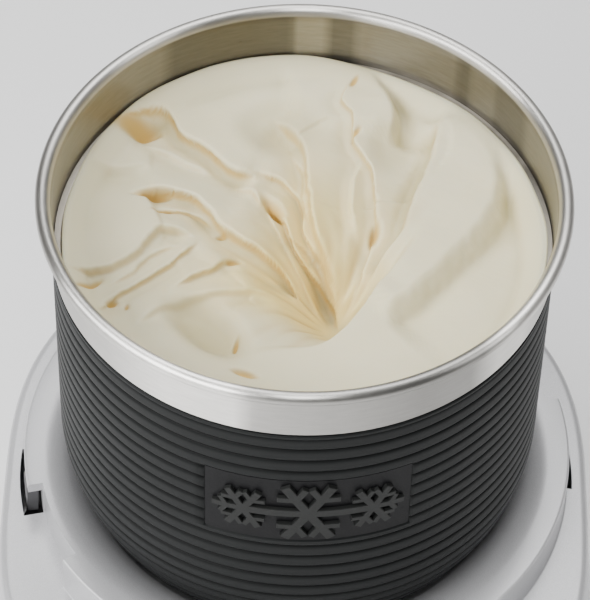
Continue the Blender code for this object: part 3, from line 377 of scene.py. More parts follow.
def cream():
    """Churned vanilla cream: pale and moist on top; painted shade turns it golden deep in the folds and
    grey-green in its hollows.
    """
    material, shader = principled(
        "cream", (0.80, 0.73, 0.58), 0.42, subsurface_weight=0.25, subsurface_scale=0.003, ior=1.36
    )
    shader.inputs["Subsurface Radius"].default_value = (1.0, 0.72, 0.42)
    nodes = Nodes(material)
    coords = nodes.object_coords()
    patch = nodes.noise(coords, 28, 3)
    pale = nodes.mix(patch, (0.74, 0.675, 0.435), (0.79, 0.735, 0.515))
    # warm tint: painted shade in the throat and deep at the vortex, and a yellow tint round the pool
    warm = nodes.mix(nodes.attribute("warm_tint_and_painted_shade"), pale, (0.87, 0.70, 0.285))
    # painted shade: grey-green in hollows and dishes
    shade = nodes.mix(nodes.attribute("hollow"), warm, (0.53, 0.465, 0.255))
    # painted shade: golden along the folds' low sides, in pits and in the swirl's troughs
    golden_painted_shade = nodes.mix(nodes.attribute("golden_painted_shade"), shade, (0.60, 0.40, 0.12))
    nodes.link(golden_painted_shade, shader.inputs["Base Color"])
    fine = nodes.noise(coords, 420, 4, 0.6)
    ice = nodes.noise(coords, 130, 3)
    nodes.link(nodes.ramp(ice, 0.36, 0.52), shader.inputs["Roughness"])
    soft = nodes.bump(ice, 0.25 * MM, 0.35)
    nodes.link(nodes.bump(fine, 0.08 * MM, 0.5, soft), shader.inputs["Normal"])
    return material


# ---------------------------------------------------------------- mesh helpers

def finish_mesh(name, bm, material, smooth_angle=40):
    """Links a bmesh as an object at the origin, smooth except at sharp edges."""
    mesh = bpy.data.meshes.new(name)
    bm.to_mesh(mesh)
    bm.free()
    mesh.shade_smooth()
    mesh.set_sharp_from_angle(angle=math.radians(smooth_angle))
    if material:
        mesh.materials.append(material)
    obj = bpy.data.objects.new(name, mesh)
    bpy.context.collection.objects.link(obj)
    return obj


def extruded(points, shift):
    """A closed solid: the outline through the points, pushed out by a shift."""
    bm = bmesh.new()
    face = bm.faces.new([bm.verts.new(point) for point in points])
    top = bmesh.ops.extrude_face_region(bm, geom=[face])["geom"]
    bmesh.ops.translate(bm, verts=[v for v in top if isinstance(v, bmesh.types.BMVert)], vec=shift)
    bmesh.ops.recalc_face_normals(bm, faces=bm.faces)
    return bm


def loft(bm, rings):
    """Joins each ring of points to the next, and the last to the first."""
    for low, high in zip(rings, rings[1:] + rings[:1]):
        for i in range(len(low)):
            j = (i + 1) % len(low)
            bm.faces.new((low[i], low[j], high[j], high[i]))
    bmesh.ops.recalc_face_normals(bm, faces=bm.faces)


def arc(centre, radius, start, end, steps):
    """Points (radius, height) on an arc; degrees from outwards towards up."""
    points = []
    for i in range(steps + 1):
        angle = math.radians(start + (end - start) * i / steps)
        points.append((centre[0] + radius * math.cos(angle), centre[1] + radius * math.sin(angle)))
    return points


def wrap_uvs(bm, lengths):
    """A UV map whose U runs round the axis and V along the profile."""
    layer = bm.loops.layers.uv.new("wrap")
    for face in bm.faces:
        angles = [math.atan2(loop.vert.co.y, loop.vert.co.x) for loop in face.loops]
        turned_back = max(angles) - min(angles) > math.pi
        for loop, angle in zip(face.loops, angles):
            if turned_back and angle < 0:
                angle += 2 * math.pi
            loop[layer].uv = (angle / (2 * math.pi), lengths.get(loop.vert, 0))


def turned(profile, sides, centre=(0, 0), uvs=False):
    """A solid turned about Z from a loop of (radius, height), or a line between two points on the axis."""
    bm = bmesh.new()
    rings = []
    lengths = {}
    run = 0
    previous = profile[0]
    for radius, height in profile:
        run += math.dist(previous, (radius, height)) * 4
        previous = (radius, height)
        count = 1 if radius == 0 else sides
        ring = []
        for i in range(count):
            angle = 2 * math.pi * i / sides
            x, y = centre[0] + radius * math.cos(angle), centre[1] + radius * math.sin(angle)
            ring.append(bm.verts.new((x, y, height)))
            lengths[ring[-1]] = run
        rings.append(ring)
    pairs = list(zip(rings, rings[1:]))
    if len(rings[0]) > 1:
        pairs.append((rings[-1], rings[0]))
    for low, high in pairs:
        for i in range(sides):
            j = (i + 1) % sides
            corners = [low[i % len(low)], low[j % len(low)], high[j % len(high)], high[i % len(high)]]
            bm.faces.new(list(dict.fromkeys(corners)))
    bmesh.ops.recalc_face_normals(bm, faces=bm.faces)
    if uvs:
        wrap_uvs(bm, lengths)
    return bm


def bake(obj):
    """Turns an object's evaluated shape into a plain mesh on the same object."""
    depsgraph = bpy.context.evaluated_depsgraph_get()
    mesh = bpy.data.meshes.new_from_object(obj.evaluated_get(depsgraph), depsgraph=depsgraph)
    obj.modifiers.clear()
    obj.data = mesh


def keep(obj, body, slot, *nodes):
    """A finished piece rides on its body and stands for its CAD nodes."""
    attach(obj, body)
    if nodes:
        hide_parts(*nodes)


# ---------------------------------------------------------------- bowl

def side_arc(inset, floor, steps):
    """The bowl's rounded lower corner, from its floor up to the straight side."""
    centre = (BOWL_RADIUS - CORNER, SEAT + CORNER - 8 * MM)
    radius = CORNER - inset
    lowest = -math.degrees(math.asin((centre[1] - floor) / radius))
    return arc(centre, radius, lowest, 0, steps)


def make_shell(steel):
    """Outer shell with the plain band, the rolled rim and the inside wall above the ledge."""
    skin = SLEEVE + GAP
    outside = side_arc(skin, SEAT + skin, 20)
    inside = side_arc(skin + SHEET, SEAT + skin + SHEET, 20)
    push_up = SEAT + 9 * MM
    socket = SOCKET
    side = BOWL_RADIUS - skin
    profile = [(0, push_up), (socket - 1 * MM, push_up), (socket, push_up - 1 * MM), (socket, outside[0][1])]
    profile += outside
    profile += [(side, LEDGE - 1.4 * MM), (side + 0.3 * MM, LEDGE - 0.9 * MM)]
    profile += arc((BOWL_RADIUS - 0.5 * MM, LEDGE + 0.2 * MM), 0.5 * MM, -70, 0, 4)
    profile += [(BOWL_RADIUS, RIM - 12 * MM), (BOWL_RADIUS, RIM - ROLL - 0.6 * MM)]
    centre = (BOWL_RADIUS + ROLL, RIM)
    profile += arc(centre, ROLL, -100, 150, 26)
    profile += [(BOWL_RADIUS - SHEET * 0.8, RIM - 0.6 * MM), (BOWL_RADIUS - SHEET, RIM - 3 * MM)]
    profile += [(BOWL_RADIUS - SHEET, LEDGE + 0.9 * MM), (BOWL_RADIUS - SHEET - 0.3 * MM, LEDGE + 0.25 * MM)]
    profile += [(side - SHEET, LEDGE - 0.35 * MM), (side - SHEET, LEDGE - 1.5 * MM)]
    profile += list(reversed(inside))
    profile += [(socket + SHEET, inside[0][1]), (socket + SHEET, push_up + SHEET), (0, push_up + SHEET)]
    shell = finish_mesh("bowl_shell_fine", turned(profile, 240, uvs=True), steel)
    keep(shell, "bowl", "brushed_steel", "bowl_shell")


def make_cup(steel):
    """Inner cup, whose flange lies on the ledge."""
    top = BOWL_RADIUS - SLEEVE - 2 * SHEET - 2 * GAP
    floor = CUP_LOW[2] + SHEET
    shoulder = (top - 4 * MM, CUP_SHOULDER)
    flange = BOWL_RADIUS - SHEET - GAP
    corner = (top - 8 * MM - CUP_CORNER, floor + CUP_CORNER)
    profile = [(0, floor), *arc(corner, CUP_CORNER, -90, 0, 12), shoulder, (top, LEDGE - 3 * MM)]
    profile += arc((top + 1 * MM, LEDGE + GAP + SHEET - 1 * MM), 1 * MM, 180, 90, 5)
    profile += [(flange, LEDGE + GAP + SHEET), (flange, LEDGE + GAP), (top + SHEET, LEDGE + GAP)]
    profile += [(top + SHEET, LEDGE - 3 * MM), (shoulder[0] + SHEET, shoulder[1])]
    profile += [*arc(corner, CUP_CORNER + SHEET, 0, -90, 12), (0, floor - SHEET)]
    cup = finish_mesh("inner_cup_fine", turned(profile, 240, uvs=True), steel)
    keep(cup, "bowl", "brushed_steel", "inner_cup")


BADGE_MIDDLE = -87
BADGE_SPREAD = 48
POCKET_LOW = PLATE_LOW[2] - GAP
POCKET_HIGH = PLATE_HIGH[2] + GAP


def sleeve_base():
    """Smooth skin of the grip, with its distance along the profile kept for the ribs."""
    edge = 0.12
    start = BADGE_MIDDLE - BADGE_SPREAD / 2
    end = BADGE_MIDDLE + BADGE_SPREAD / 2
    angles = [360 * i / 168 for i in range(168)]
    angles = [a for a in angles if min(abs(a - 360 - s) for s in (start, end)) > 0.5]
    angles += [360 + start - edge, 360 + start + edge, 360 + end - edge, 360 + end + edge]
    angles.sort()
    lip = SLEEVE_HIGH[2]
    arc_points = side_arc(0, SEAT, 175)
    straight = lip - arc_points[-1][1]
    steps = 300
    heights = [arc_points[-1][1] + straight * (i + 1) / steps for i in range(steps)]
    heights = [h for h in heights if min(abs(h - POCKET_LOW), abs(h - POCKET_HIGH)) > 0.3 * MM]
    fine = 0.1 * MM
    heights += [POCKET_LOW - fine, POCKET_LOW + fine, POCKET_HIGH - fine, POCKET_HIGH + fine]
    outside = arc_points + [(BOWL_RADIUS, h) for h in sorted(heights)]
    inner = BOWL_RADIUS - SLEEVE
    inside = [(inner, lip)] + list(reversed(side_arc(SLEEVE, SEAT + SLEEVE, 16)))
    hole = SOCKET + SOCKET_FLANGE + GAP
    profile = [(hole, SEAT + SLEEVE), (hole, SEAT)] + outside + inside

    bm = bmesh.new()
    path = bm.verts.layers.float.new("path")
    outer = bm.verts.layers.float.new("outer")
    pocket = bm.verts.layers.float.new("pocket")
    rings = []
    run = 0
    for k, (radius, height) in enumerate(profile):
        is_outer = 2 <= k < 2 + len(outside)
        if k > 2:
            run += math.dist(profile[k - 1], profile[k])
        ring = []
        for angle in angles:
            a = math.radians(angle)
            vert = bm.verts.new((radius * math.cos(a), radius * math.sin(a), height))
            vert[path] = run
            vert[outer] = 1.0 if is_outer else 0.0
            within = start < angle - 360 < end and POCKET_LOW < height < POCKET_HIGH
            vert[pocket] = 1.0 if within and is_outer else 0.0
            ring.append(vert)
        rings.append(ring)
    loft(bm, rings)
    lip_run = sum(math.dist(a, b) for a, b in zip(outside, outside[1:]))
    return bm, lip_run


RIB_PITCH = 6.1 * MM
RIB_DEPTH = 1.1 * MM
RIB_SQUARENESS = 3.6
RIB_MARGIN = 1.2 * MM
POCKET_DEPTH = 1.2 * MM


def rib_tree(material):
    """Geometry Nodes that press rounded ribs into a skin along its stored path."""
    tree = bpy.data.node_groups.new("grip_ribs", "GeometryNodeTree")
    interface = tree.interface
    interface.new_socket("Geometry", in_out="INPUT", socket_type="NodeSocketGeometry")
    for name in ("Pitch", "Depth", "Top", "Plain band", "Pocket depth"):
        interface.new_socket(name, in_out="INPUT", socket_type="NodeSocketFloat")
    interface.new_socket("Geometry", in_out="OUTPUT", socket_type="NodeSocketGeometry")
    nodes, links = tree.nodes, tree.links
    start = nodes.new("NodeGroupInput")
    end = nodes.new("NodeGroupOutput")

    def calc(operation, *values):
        node = nodes.new("ShaderNodeMath")
        node.operation = operation
        for socket, value in zip(node.inputs, values):
            if isinstance(value, (int, float)):
                socket.default_value = value
            else:
                links.new(value, socket)
        return node.outputs[0]

    def named(name):
        node = nodes.new("GeometryNodeInputNamedAttribute")
        node.data_type = "FLOAT"
        node.inputs["Name"].default_value = name
        return node.outputs[0]

    from_lip = calc("SUBTRACT", start.outputs["Top"], named("path"))
    below = calc("SUBTRACT", from_lip, start.outputs["Plain band"])
    share = calc("FRACT", calc("DIVIDE", below, start.outputs["Pitch"]))
    off_crest = calc("ABSOLUTE", calc("SUBTRACT", calc("MULTIPLY", share, 2.0), 1.0))
    fall = calc("SUBTRACT", 1.0, calc("POWER", off_crest, RIB_SQUARENESS))
    round_top = calc("SQRT", calc("MAXIMUM", fall, 0.0))
    hollow = calc("SUBTRACT", 1.0, round_top)
    ribbed = calc("GREATER_THAN", below, 0.0)
    depth = calc("MULTIPLY", calc("MULTIPLY", hollow, ribbed), start.outputs["Depth"])
    outside = calc("SUBTRACT", named("outer"), named("pocket"))
    pressed = calc("MULTIPLY", named("pocket"), start.outputs["Pocket depth"])
    inward = calc("ADD", calc("MULTIPLY", depth, outside), pressed)

    normal = nodes.new("GeometryNodeInputNormal")
    scale = nodes.new("ShaderNodeVectorMath")
    scale.operation = "SCALE"
    links.new(normal.outputs[0], scale.inputs[0])
    links.new(calc("MULTIPLY", inward, -1.0), scale.inputs["Scale"])
    move = nodes.new("GeometryNodeSetPosition")
    links.new(start.outputs["Geometry"], move.inputs["Geometry"])
    links.new(scale.outputs[0], move.inputs["Offset"])
    store = nodes.new("GeometryNodeStoreNamedAttribute")
    store.data_type = "FLOAT"
    store.inputs["Name"].default_value = "painted_groove_shade"
    links.new(move.outputs[0], store.inputs["Geometry"])
    # painted shade: darkest at the bottom of each groove, stored on the skin for the grip's material
    dark = calc("MULTIPLY", calc("POWER", hollow, 0.55), calc("MULTIPLY", ribbed, outside))
    links.new(dark, store.inputs["Value"])
    realize = nodes.new("GeometryNodeRealizeInstances")
    links.new(store.outputs[0], realize.inputs[0])
    paint = nodes.new("GeometryNodeSetMaterial")
    paint.inputs["Material"].default_value = material
    links.new(realize.outputs[0], paint.inputs["Geometry"])
    links.new(paint.outputs[0], end.inputs["Geometry"])
    return tree


def set_inputs(modifier, values):
    """Sets a Geometry Nodes modifier's inputs by socket identifier."""
    for item in modifier.node_group.interface.items_tree:
        if item.in_out == "INPUT" and item.name in values:
            modifier[item.identifier] = values[item.name]


def make_sleeve(rubber):
    bm, lip_run = sleeve_base()
    sleeve = finish_mesh("bowl_sleeve_ribbed", bm, rubber, 180)
    modifier = sleeve.modifiers.new("ribs", "NODES")
    modifier.node_group = rib_tree(rubber)
    sizes = {"Pitch": RIB_PITCH, "Depth": RIB_DEPTH, "Top": lip_run}
    sizes.update({"Plain band": RIB_MARGIN, "Pocket depth": POCKET_DEPTH})
    set_inputs(modifier, sizes)
    bake(sleeve)
    sleeve.data.shade_smooth()
    keep(sleeve, "bowl", "dark_grip", "bowl_sleeve")


def on_barrel(along, up, radius):
    """A point on the sleeve's front, given by its distance along the curve and up from the badge's middle."""
    angle = math.radians(BADGE_MIDDLE) + along / BOWL_RADIUS
    middle = (PLATE_LOW[2] + PLATE_HIGH[2]) / 2
    return Vector((radius * math.cos(angle), radius * math.sin(angle), middle + up))


def wrapped_slab(name, outline, low, high, bevel, material):
    """A flat outline raised, bevelled, cut fine along its length and wrapped round the barrel."""
    bm = extruded([(x, y, low) for x, y in outline], (0, 0, high - low))
    upper = [edge for edge in bm.edges if all(v.co.z > (low + high) / 2 for v in edge.verts)]
    bmesh.ops.bevel(bm, geom=upper, offset=bevel, segments=2, affect="EDGES")
    width = max(abs(x) for x, _ in outline)
    step = 2 * MM
    for k in range(-int(width / step), int(width / step) + 1):
        geom = bm.verts[:] + bm.edges[:] + bm.faces[:]
        bmesh.ops.bisect_plane(bm, geom=geom, plane_co=(k * step, 0, 0), plane_no=(1, 0, 0))
    bmesh.ops.triangulate(bm, faces=[f for f in bm.faces if len(f.verts) > 4])
    for vert in bm.verts:
        vert.co = on_barrel(*vert.co)
    return finish_mesh(name, bm, material, 30)


def rounded_box(half_x, half_y, radius, steps=5):
    """Outline of a rectangle with rounded corners, counter-clockwise."""
    outline = []
    for cx, cy, start in ((1, 1, 0), (-1, 1, 90), (-1, -1, 180), (1, -1, 270)):
        centre = (cx * (half_x - radius), cy * (half_y - radius))
        outline += arc(centre, radius, start, start + 90, steps)
    return outline


def limb(reach, half, twig_at, twig):
    """Upper side of one snowflake arm, from its root to its tip, with a twig that leans outwards."""
    slant = Vector((0.5, 0.866))
    across = Vector((0.866, -0.5)) * half * 1.5
    root = Vector((twig_at, half))
    tip = root + slant * twig
    foot = Vector((twig_at + half * 1.5 * 1.155, half))
    return [Vector((1.732 * half, half)), root, tip, tip + across, foot, Vector((reach, half))]


def swung(points, degrees, centre=(0, 0)):
    turn = Matrix.Rotation(math.radians(degrees), 2)
    return [turn @ Vector(p) + Vector(centre) for p in points]


def arm_outline(side):
    """Both sides of an arm; its root corner is shared with the next arm."""
    return [Vector((p.x, -p.y)) for p in side[1:]] + list(reversed(side))


def emblem_outline():
    """A large snowflake joined by a bar to a smaller one on each side, as one closed line."""
    half = 1.8 * MM
    beside = 23 * MM
    large = arm_outline(limb(16.5 * MM, half, 8.2 * MM, 5.4 * MM))
    small = arm_outline(limb(11.2 * MM, 1.4 * MM, 5.4 * MM, 3.9 * MM))
    link = [Vector((beside - 2.6 * MM, -half))]
    for degrees in (-120, -60, 0, 60, 120):
        link += swung(small, degrees, (beside, 0))
    link = link[:-1] + [Vector((beside - 2.6 * MM, half)), Vector((1.732 * half, half))]
    outline = []
    for k in range(6):
        outline += swung(large if k % 3 else link, 60 * k)
    return [tuple(p) for p in outline]


def make_badge():
    plate_paint = moulded("badge_plate_paint", (0.007, 0.007, 0.0078), 0.5, 1200, gloss=0.15)
    mark_paint = moulded("badge_mark_paint", (0.017, 0.018, 0.0172), 0.46, 1200, gloss=0.2)
    bed = BOWL_RADIUS - POCKET_DEPTH + GAP
    face = bed + 0.6 * MM
    half = math.radians(BADGE_SPREAD / 2) * BOWL_RADIUS - GAP
    tall = (PLATE_HIGH[2] - PLATE_LOW[2]) / 2
    outline = rounded_box(half, tall, 0.8 * MM)
    plate = wrapped_slab("badge_plate_fine", outline, bed, face, 0.25 * MM, plate_paint)
    keep(plate, "bowl", "badge_dark", "badge_plate")
    low = face + 0.05 * MM
    high = face + GAP + 1.2 * MM
    mark = wrapped_slab("badge_emblem_fine", emblem_outline(), low, high, 0.2 * MM, mark_paint)
    keep(mark, "bowl", "badge_light", "badge_emblem")


# ---------------------------------------------------------------- base housing

def square_radius(half, angle):
    """The housing's rounded-square outline, squarer at the front."""
    power = 3.6 if math.sin(angle) < 0 else 2.5
    total = abs(math.cos(angle)) ** power + abs(math.sin(angle)) ** power
    return half / total ** (1 / power)


def half_width_at(height):
    return HALF_FOOT - (HALF_FOOT - HALF_TOP) * (height - FOOT_HEIGHT) / (DECK - FOOT_HEIGHT)


def well_side(clearance, steps):
    """The well's curved side, a clearance out from the bowl."""
    side = side_arc(-clearance, SEAT - 1 * MM, steps)
    return [(radius, height) for radius, height in side if height < DECK + 6 * MM]


def housing_mesh(sides=256):
    """Deck, collar, dish, well and walls as one closed loft of rings (is_square, size, height)."""
    wall = 2.8 * MM
    land = COLLAR_RADIUS - 8 * MM
    edge = 3 * MM
    corner = (half_width_at(DECK - edge) - edge, DECK - edge)
    stations = [(True, HALF_FOOT, FOOT_HEIGHT + 0.6 * MM)]
    stations += [(True, half_width_at(h), h) for h in (0.03, 0.05, 0.07, 0.09)]
    stations += [(True, *p) for p in arc(corner, edge, 6, 90, 8)]
    stations += [(True, corner[0] - 0.5 * MM, DECK)]
    foot = 0.6 * MM
    stations += [(False, *p) for p in arc((COLLAR_RADIUS + foot, DECK + foot), foot, -90, -180, 5)]
    stations += [(False, COLLAR_RADIUS, COLLAR_TOP - 4 * MM)]
    lip = 1.0 * MM
    stations += [(False, *p) for p in arc((COLLAR_RADIUS - lip, COLLAR_TOP - lip), lip, 0, 90, 6)]
    dish = [
        (land + 0.5 * MM, COLLAR_TOP),
        (land - 1 * MM, COLLAR_TOP - 0.12 * MM),
        (land - 3.5 * MM, COLLAR_TOP - 0.8 * MM),
        (land - 6 * MM, COLLAR_TOP - 1.8 * MM),
        (land - 9 * MM, COLLAR_TOP - 3.3 * MM),
        (land - 11.5 * MM, COLLAR_TOP - 5.1 * MM),
    ]
    stations += [(False, *p) for p in dish]
    near = side_arc(-2.2 * MM, SEAT - 1 * MM, 24)
    near = [p for p in near if DECK + 1 * MM < p[1] < COLLAR_TOP - 6.5 * MM]
    stations += [(False, *p) for p in reversed(near)]
    well = well_side(6 * MM, 12)
    stations += [(False, *p) for p in reversed(well) if p[1] < DECK - 1.5 * MM]
    floor = SEAT - 7 * MM
    stations += [(False, well[0][0] - 3 * MM, floor), (False, 10 * MM, floor), (False, 10 * MM, floor - wall)]
    under = well_side(6 * MM + wall, 4)
    stations += [(False, under[0][0] - 3 * MM, floor - wall)] + [(False, *p) for p in under]
    stations += [(False, land - 6 * MM, COLLAR_TOP - 5 * MM), (False, land, COLLAR_TOP - wall - 0.5 * MM)]
    stations += [(False, land, DECK - wall)]
    stations += [(True, HALF_TOP - 1.5 * wall, DECK - wall)]
    stations += [(True, half_width_at(DECK - 2 * wall) - wall, DECK - 2 * wall)]
    stations += [(True, HALF_FOOT - wall, FOOT_HEIGHT), (True, HALF_FOOT - 0.6 * MM, FOOT_HEIGHT)]
    bm = bmesh.new()
    rings = []
    for is_square, size, height in stations:
        ring = []
        for i in range(sides):
            angle = 2 * math.pi * (i + 0.5) / sides
            radius = square_radius(size, angle) if is_square else size
            ring.append(bm.verts.new((radius * math.cos(angle), radius * math.sin(angle), height)))
        rings.append(ring)
    loft(bm, rings)
    return bm


def sector(inner, outer, start, end, low, high, steps=40):
    """A stretch of a ring between two angles, as a cutter."""
    angles = [math.radians(start + (end - start) * i / steps) for i in range(steps + 1)]
    outline = [(outer * math.cos(a), outer * math.sin(a)) for a in angles]
    outline += [(inner * math.cos(a), inner * math.sin(a)) for a in reversed(angles)]
    return extruded([(x, y, low) for x, y in outline], (0, 0, high - low))


def side_slope():
    return math.atan2(HALF_FOOT - HALF_TOP, DECK - FOOT_HEIGHT)


def on_wall(y_side, height, turn):
    """The matrix that puts a piece on the sloping front (-1) or rear (+1) wall."""
    place = Vector((0, y_side * half_width_at(height), height))
    return Matrix.Translation(place) @ Matrix.Rotation(turn, 4, "X")


def slab(half_x, half_z, front, back, radius=1.2 * MM, steps=5):
    """A rounded rectangle that faces -Y, between two depths."""
    outline = rounded_box(half_x, half_z, radius, steps)
    return extruded([(x, front, z) for x, z in outline], (0, back - front, 0))


def combine(obj, shapes, operation, material=None):
    """Cuts each bmesh out of an object or joins it on, then removes the helpers."""
    guides = []
    for k, bm in enumerate(shapes):
        guide = finish_mesh(f"{obj.name}_helper_{k}", bm, material)
        modifier = obj.modifiers.new(guide.name, "BOOLEAN")
        modifier.operation = operation
        modifier.object = guide
        guides.append(guide)
    bake(obj)
    for guide in guides:
        bpy.data.objects.remove(guide)


SWITCH_HEIGHT = 45 * MM
GLAND_HEIGHT = 38 * MM
SWITCH_HALF = (9 * MM, 6.9 * MM)


def make_housing(silver):
    housing = finish_mesh("upper_housing_fine", housing_mesh(), silver)
    recess = COLLAR_RADIUS - 5.7 * MM
    cutters = []
    recess_out = COLLAR_RADIUS + 3 * MM
    slot_out = COLLAR_RADIUS + 2.4 * MM
    slot_low = DECK - 12 * MM
    slot_high = COLLAR_TOP - 4.4 * MM
    for turn in (0, 180):
        cutters.append(sector(recess, recess_out, 194 + turn, 214.8 + turn, DECK, COLLAR_TOP + 2 * MM))
        cutters.append(sector(recess + GAP, slot_out, 177 + turn, 194.5 + turn, slot_low, slot_high))
    opening = slab(SWITCH_HALF[0] + 1.5 * MM, SWITCH_HALF[1] + 1.5 * MM, -4 * MM, 8 * MM)
    opening.transform(on_wall(-1, SWITCH_HEIGHT, -side_slope()))
    cutters.append(opening)
    hole = turned([(0, -8 * MM), (7.3 * MM, -8 * MM), (7.3 * MM, 4 * MM), (0, 4 * MM)], 48)
    hole.transform(on_wall(1, GLAND_HEIGHT, side_slope() - math.pi / 2))
    cutters.append(hole)
    combine(housing, cutters, "DIFFERENCE")
    housing.data.shade_smooth()
    housing.data.set_sharp_from_angle(angle=math.radians(32))
    keep(housing, "base", "satin_silver", "upper_housing")


# ---------------------------------------------------------------- ice cream

# Heights over the rim in millimetres
PLAIN = -24.6
BANK_TOP = -26.5
HIGHEST = -20.8
RELIEF = 1.4
GRID = 289
VORTEX = np.array((12.5, -16.0))
# The bank in front and to the right: its edge over the pool, in millimetres in plan
BANK = ((-24, -52), (-9, -47), (5, -44), (13, -37), (20, -26), (26, -16), (34, -6), (43, 8), (50, 22))
# Each fold: points in millimetres in plan; then the height of its high side (left of its run), the drop
# on its low side, how far each reaches, the softness of its edge, its overhang and the strength of the golden
# painted shade along its low side.
FOLDS = [
    # back crest, above the plain on the right
    (((31, 50), (33, 62), (30, 72), (24, 80), (15, 85), (3, 87), (-12, 86)),
     5.0, 4.2, 20, 12, 2.2, 0.0, 0.0),
    # upper left ledge with its open mouth
    (((-70, 48), (-63, 55), (-51, 60), (-45, 50), (-35, 43), (-28, 36), (-16, 31)),
     2.4, 5.6, 13, 9, 0.5, 1.6, 0.9),
    (((-62, 44), (-53, 43), (-44, 38), (-33, 33)), 0.7, 2.2, 4, 6, 1.2, 0.0, 0.2),
    (((-80, 43), (-76, 33), (-66, 32), (-56, 35)), 0.8, 2.6, 5, 7, 2.0, 0.0, 0.0),
    # middle left folds
    (((-61, 20), (-56, 23), (-42, 22), (-34, 15), (-29, 7), (-21, 2), (-14, -1), (-5, -5), (1, -13)),
     2.4, 5.4, 9, 8, 0.5, 1.3, 0.9),
    (((-55, 13), (-46, 16), (-38, 15), (-31, 8)), 1.0, 2.4, 4, 4, 0.4, 0.9, 0.7),
    (((-84, -19), (-74, -17), (-67, -15), (-60, -8), (-55, 0), (-51, 5), (-44, 5), (-38, 3)),
     1.4, 3.6, 10, 6, 0.9, 0.5, 0.4),
    (((-70, -24), (-62, -17), (-56, -8), (-49, -3), (-42, -1)), 0.6, 1.8, 4, 4, 0.7, 0.3, 0.4),
    (((-72, -37), (-66, -28), (-60, -21), (-53, -15), (-46, -8), (-41, -2), (-36, 2)),
     0.6, 3.2, 5, 6, 0.6, 0.8, 0.65),
    (((-46, -22), (-38, -15), (-32, -12), (-28, -8), (-22, -5)), 1.2, 3.2, 7, 7, 0.6, 0.8, 0.6),
    (((-58, -42), (-50, -32), (-42, -27), (-32, -23), (-20, -20), (-8, -17)),
     0.8, 2.0, 8, 7, 1.4, 0.3, 0.2),
    # the sheaf of folds that dives into the hollow
    (((-15, 24), (-7, 16), (-2, 5), (3, 1), (9, -3), (13, -9), (14, -17)),
     1.8, 5.4, 6, 5, 0.45, 1.3, 1.0),
    (((-20, 35), (-7, 31), (-1, 23), (1, 11), (7, 3), (12, -4), (15, -12)),
     1.4, 3.4, 5, 4, 0.45, 0.9, 0.75),
    (((-13, 62), (-3, 52), (0, 41), (2, 24), (5, 9), (10, 2), (15, -8)),
     2.0, 4.6, 12, 9, 0.8, 0.7, 0.65),
    (((-6, 47), (-1, 36), (0, 24), (4, 11), (9, 0), (13, -10)), 0.7, 1.8, 3, 3, 0.4, 0.4, 0.5),
    (((-28, 30), (-18, 24), (-10, 12), (-5, 2), (1, -5), (7, -13)), 0.9, 2.0, 4, 4, 0.6, 0.4, 0.5),
    (((-8, 17), (-4, 9), (2, 6), (8, 0), (12, -8)), 0.6, 1.5, 2.5, 2.5, 0.4, 0.3, 0.6),
    # creases right of the hollow's throat
    (((16, 78), (13, 69), (17, 61), (18, 49), (24, 38), (26, 22), (26, 12), (22, -1), (19, -9)),
     1.6, 3.8, 8, 7, 0.55, 0.8, 0.65),
    (((20, 44), (17, 30), (17, 18), (20, 8)), 1.4, 1.8, 3, 4, 0.7, 0.0, 0.0),
    # valley between the middle and the big fold on the right
    (((48, 62), (47, 50), (43, 34), (38, 18), (35, 7), (29, 0), (22, -6)),
     4.2, 6.4, 14, 9, 1.6, 0.3, 0.45),
    # outer side of the big fold
    (((28, -34), (40, -24), (53, -8), (66, 10), (72, 28), (70, 44), (63, 57), (53, 63), (44, 58)),
     4.6, 3.6, 16, 13, 4.5, 0.0, 0.0),
]
# Wide soft dishes: centre, half length, half width, turn, depth.
DISHES = [
    ((-9, 57), 15, 12, 0, 4.0),
    ((-33, -38), 16, 9, -44, 8.0),
    ((33, 52), 15, 8, 75, 3.0),
]

# Small torn cavities: centre, half length, half width, direction in degrees, depth
PITS = [
    ((-62, 52), 8, 3.4, 15, 4.0),
    ((-11, 20), 5.5, 2.2, -40, 4.4),
    ((26, 11), 4.5, 1.8, 80, 4.4),
    ((17, 77), 2.6, 1.1, 60, 2.4),
    ((18.5, 53), 3, 0.9, 60, 2.0),
    ((-55, 22), 6.5, 1.5, 5, 3.0),
    ((-51, 14.8), 4, 0.8, 15, 1.8),
    ((-29, 6), 2.2, 0.9, 0, 1.8),
    ((-75, -23), 5, 1.2, 40, 2.4),
    ((-67, -30), 2.4, 1.1, 30, 2.0),
    ((-61.5, -31.5), 1.6, 0.7, 85, 1.8),
    ((-22.5, -43), 3.6, 0.8, 82, 2.6),
    ((-25, -6.5), 3.2, 1.1, 20, 1.8),
    ((-19, -60.5), 4.5, 1.3, -20, 2.4),
]


def smooth_path(points, steps=14):
    """A Catmull-Rom line through the points."""
    points = np.array(points, float)
    ends = np.vstack([2 * points[0] - points[1], points, 2 * points[-1] - points[-2]])
    line = []
    for a, b, c, d in zip(ends, ends[1:], ends[2:], ends[3:]):
        for t in np.arange(steps) / steps:
            square, cube = 2 * a - 5 * b + 4 * c - d, 3 * b - a - 3 * c + d
            line.append(0.5 * (2 * b + (c - a) * t + square * t**2 + cube * t**3))
    line.append(points[-1])
    return np.array(line)


def smoothstep(value, low, high):
    t = np.clip((value - low) / (high - low), 0, 1)
    return t * t * (3 - 2 * t)


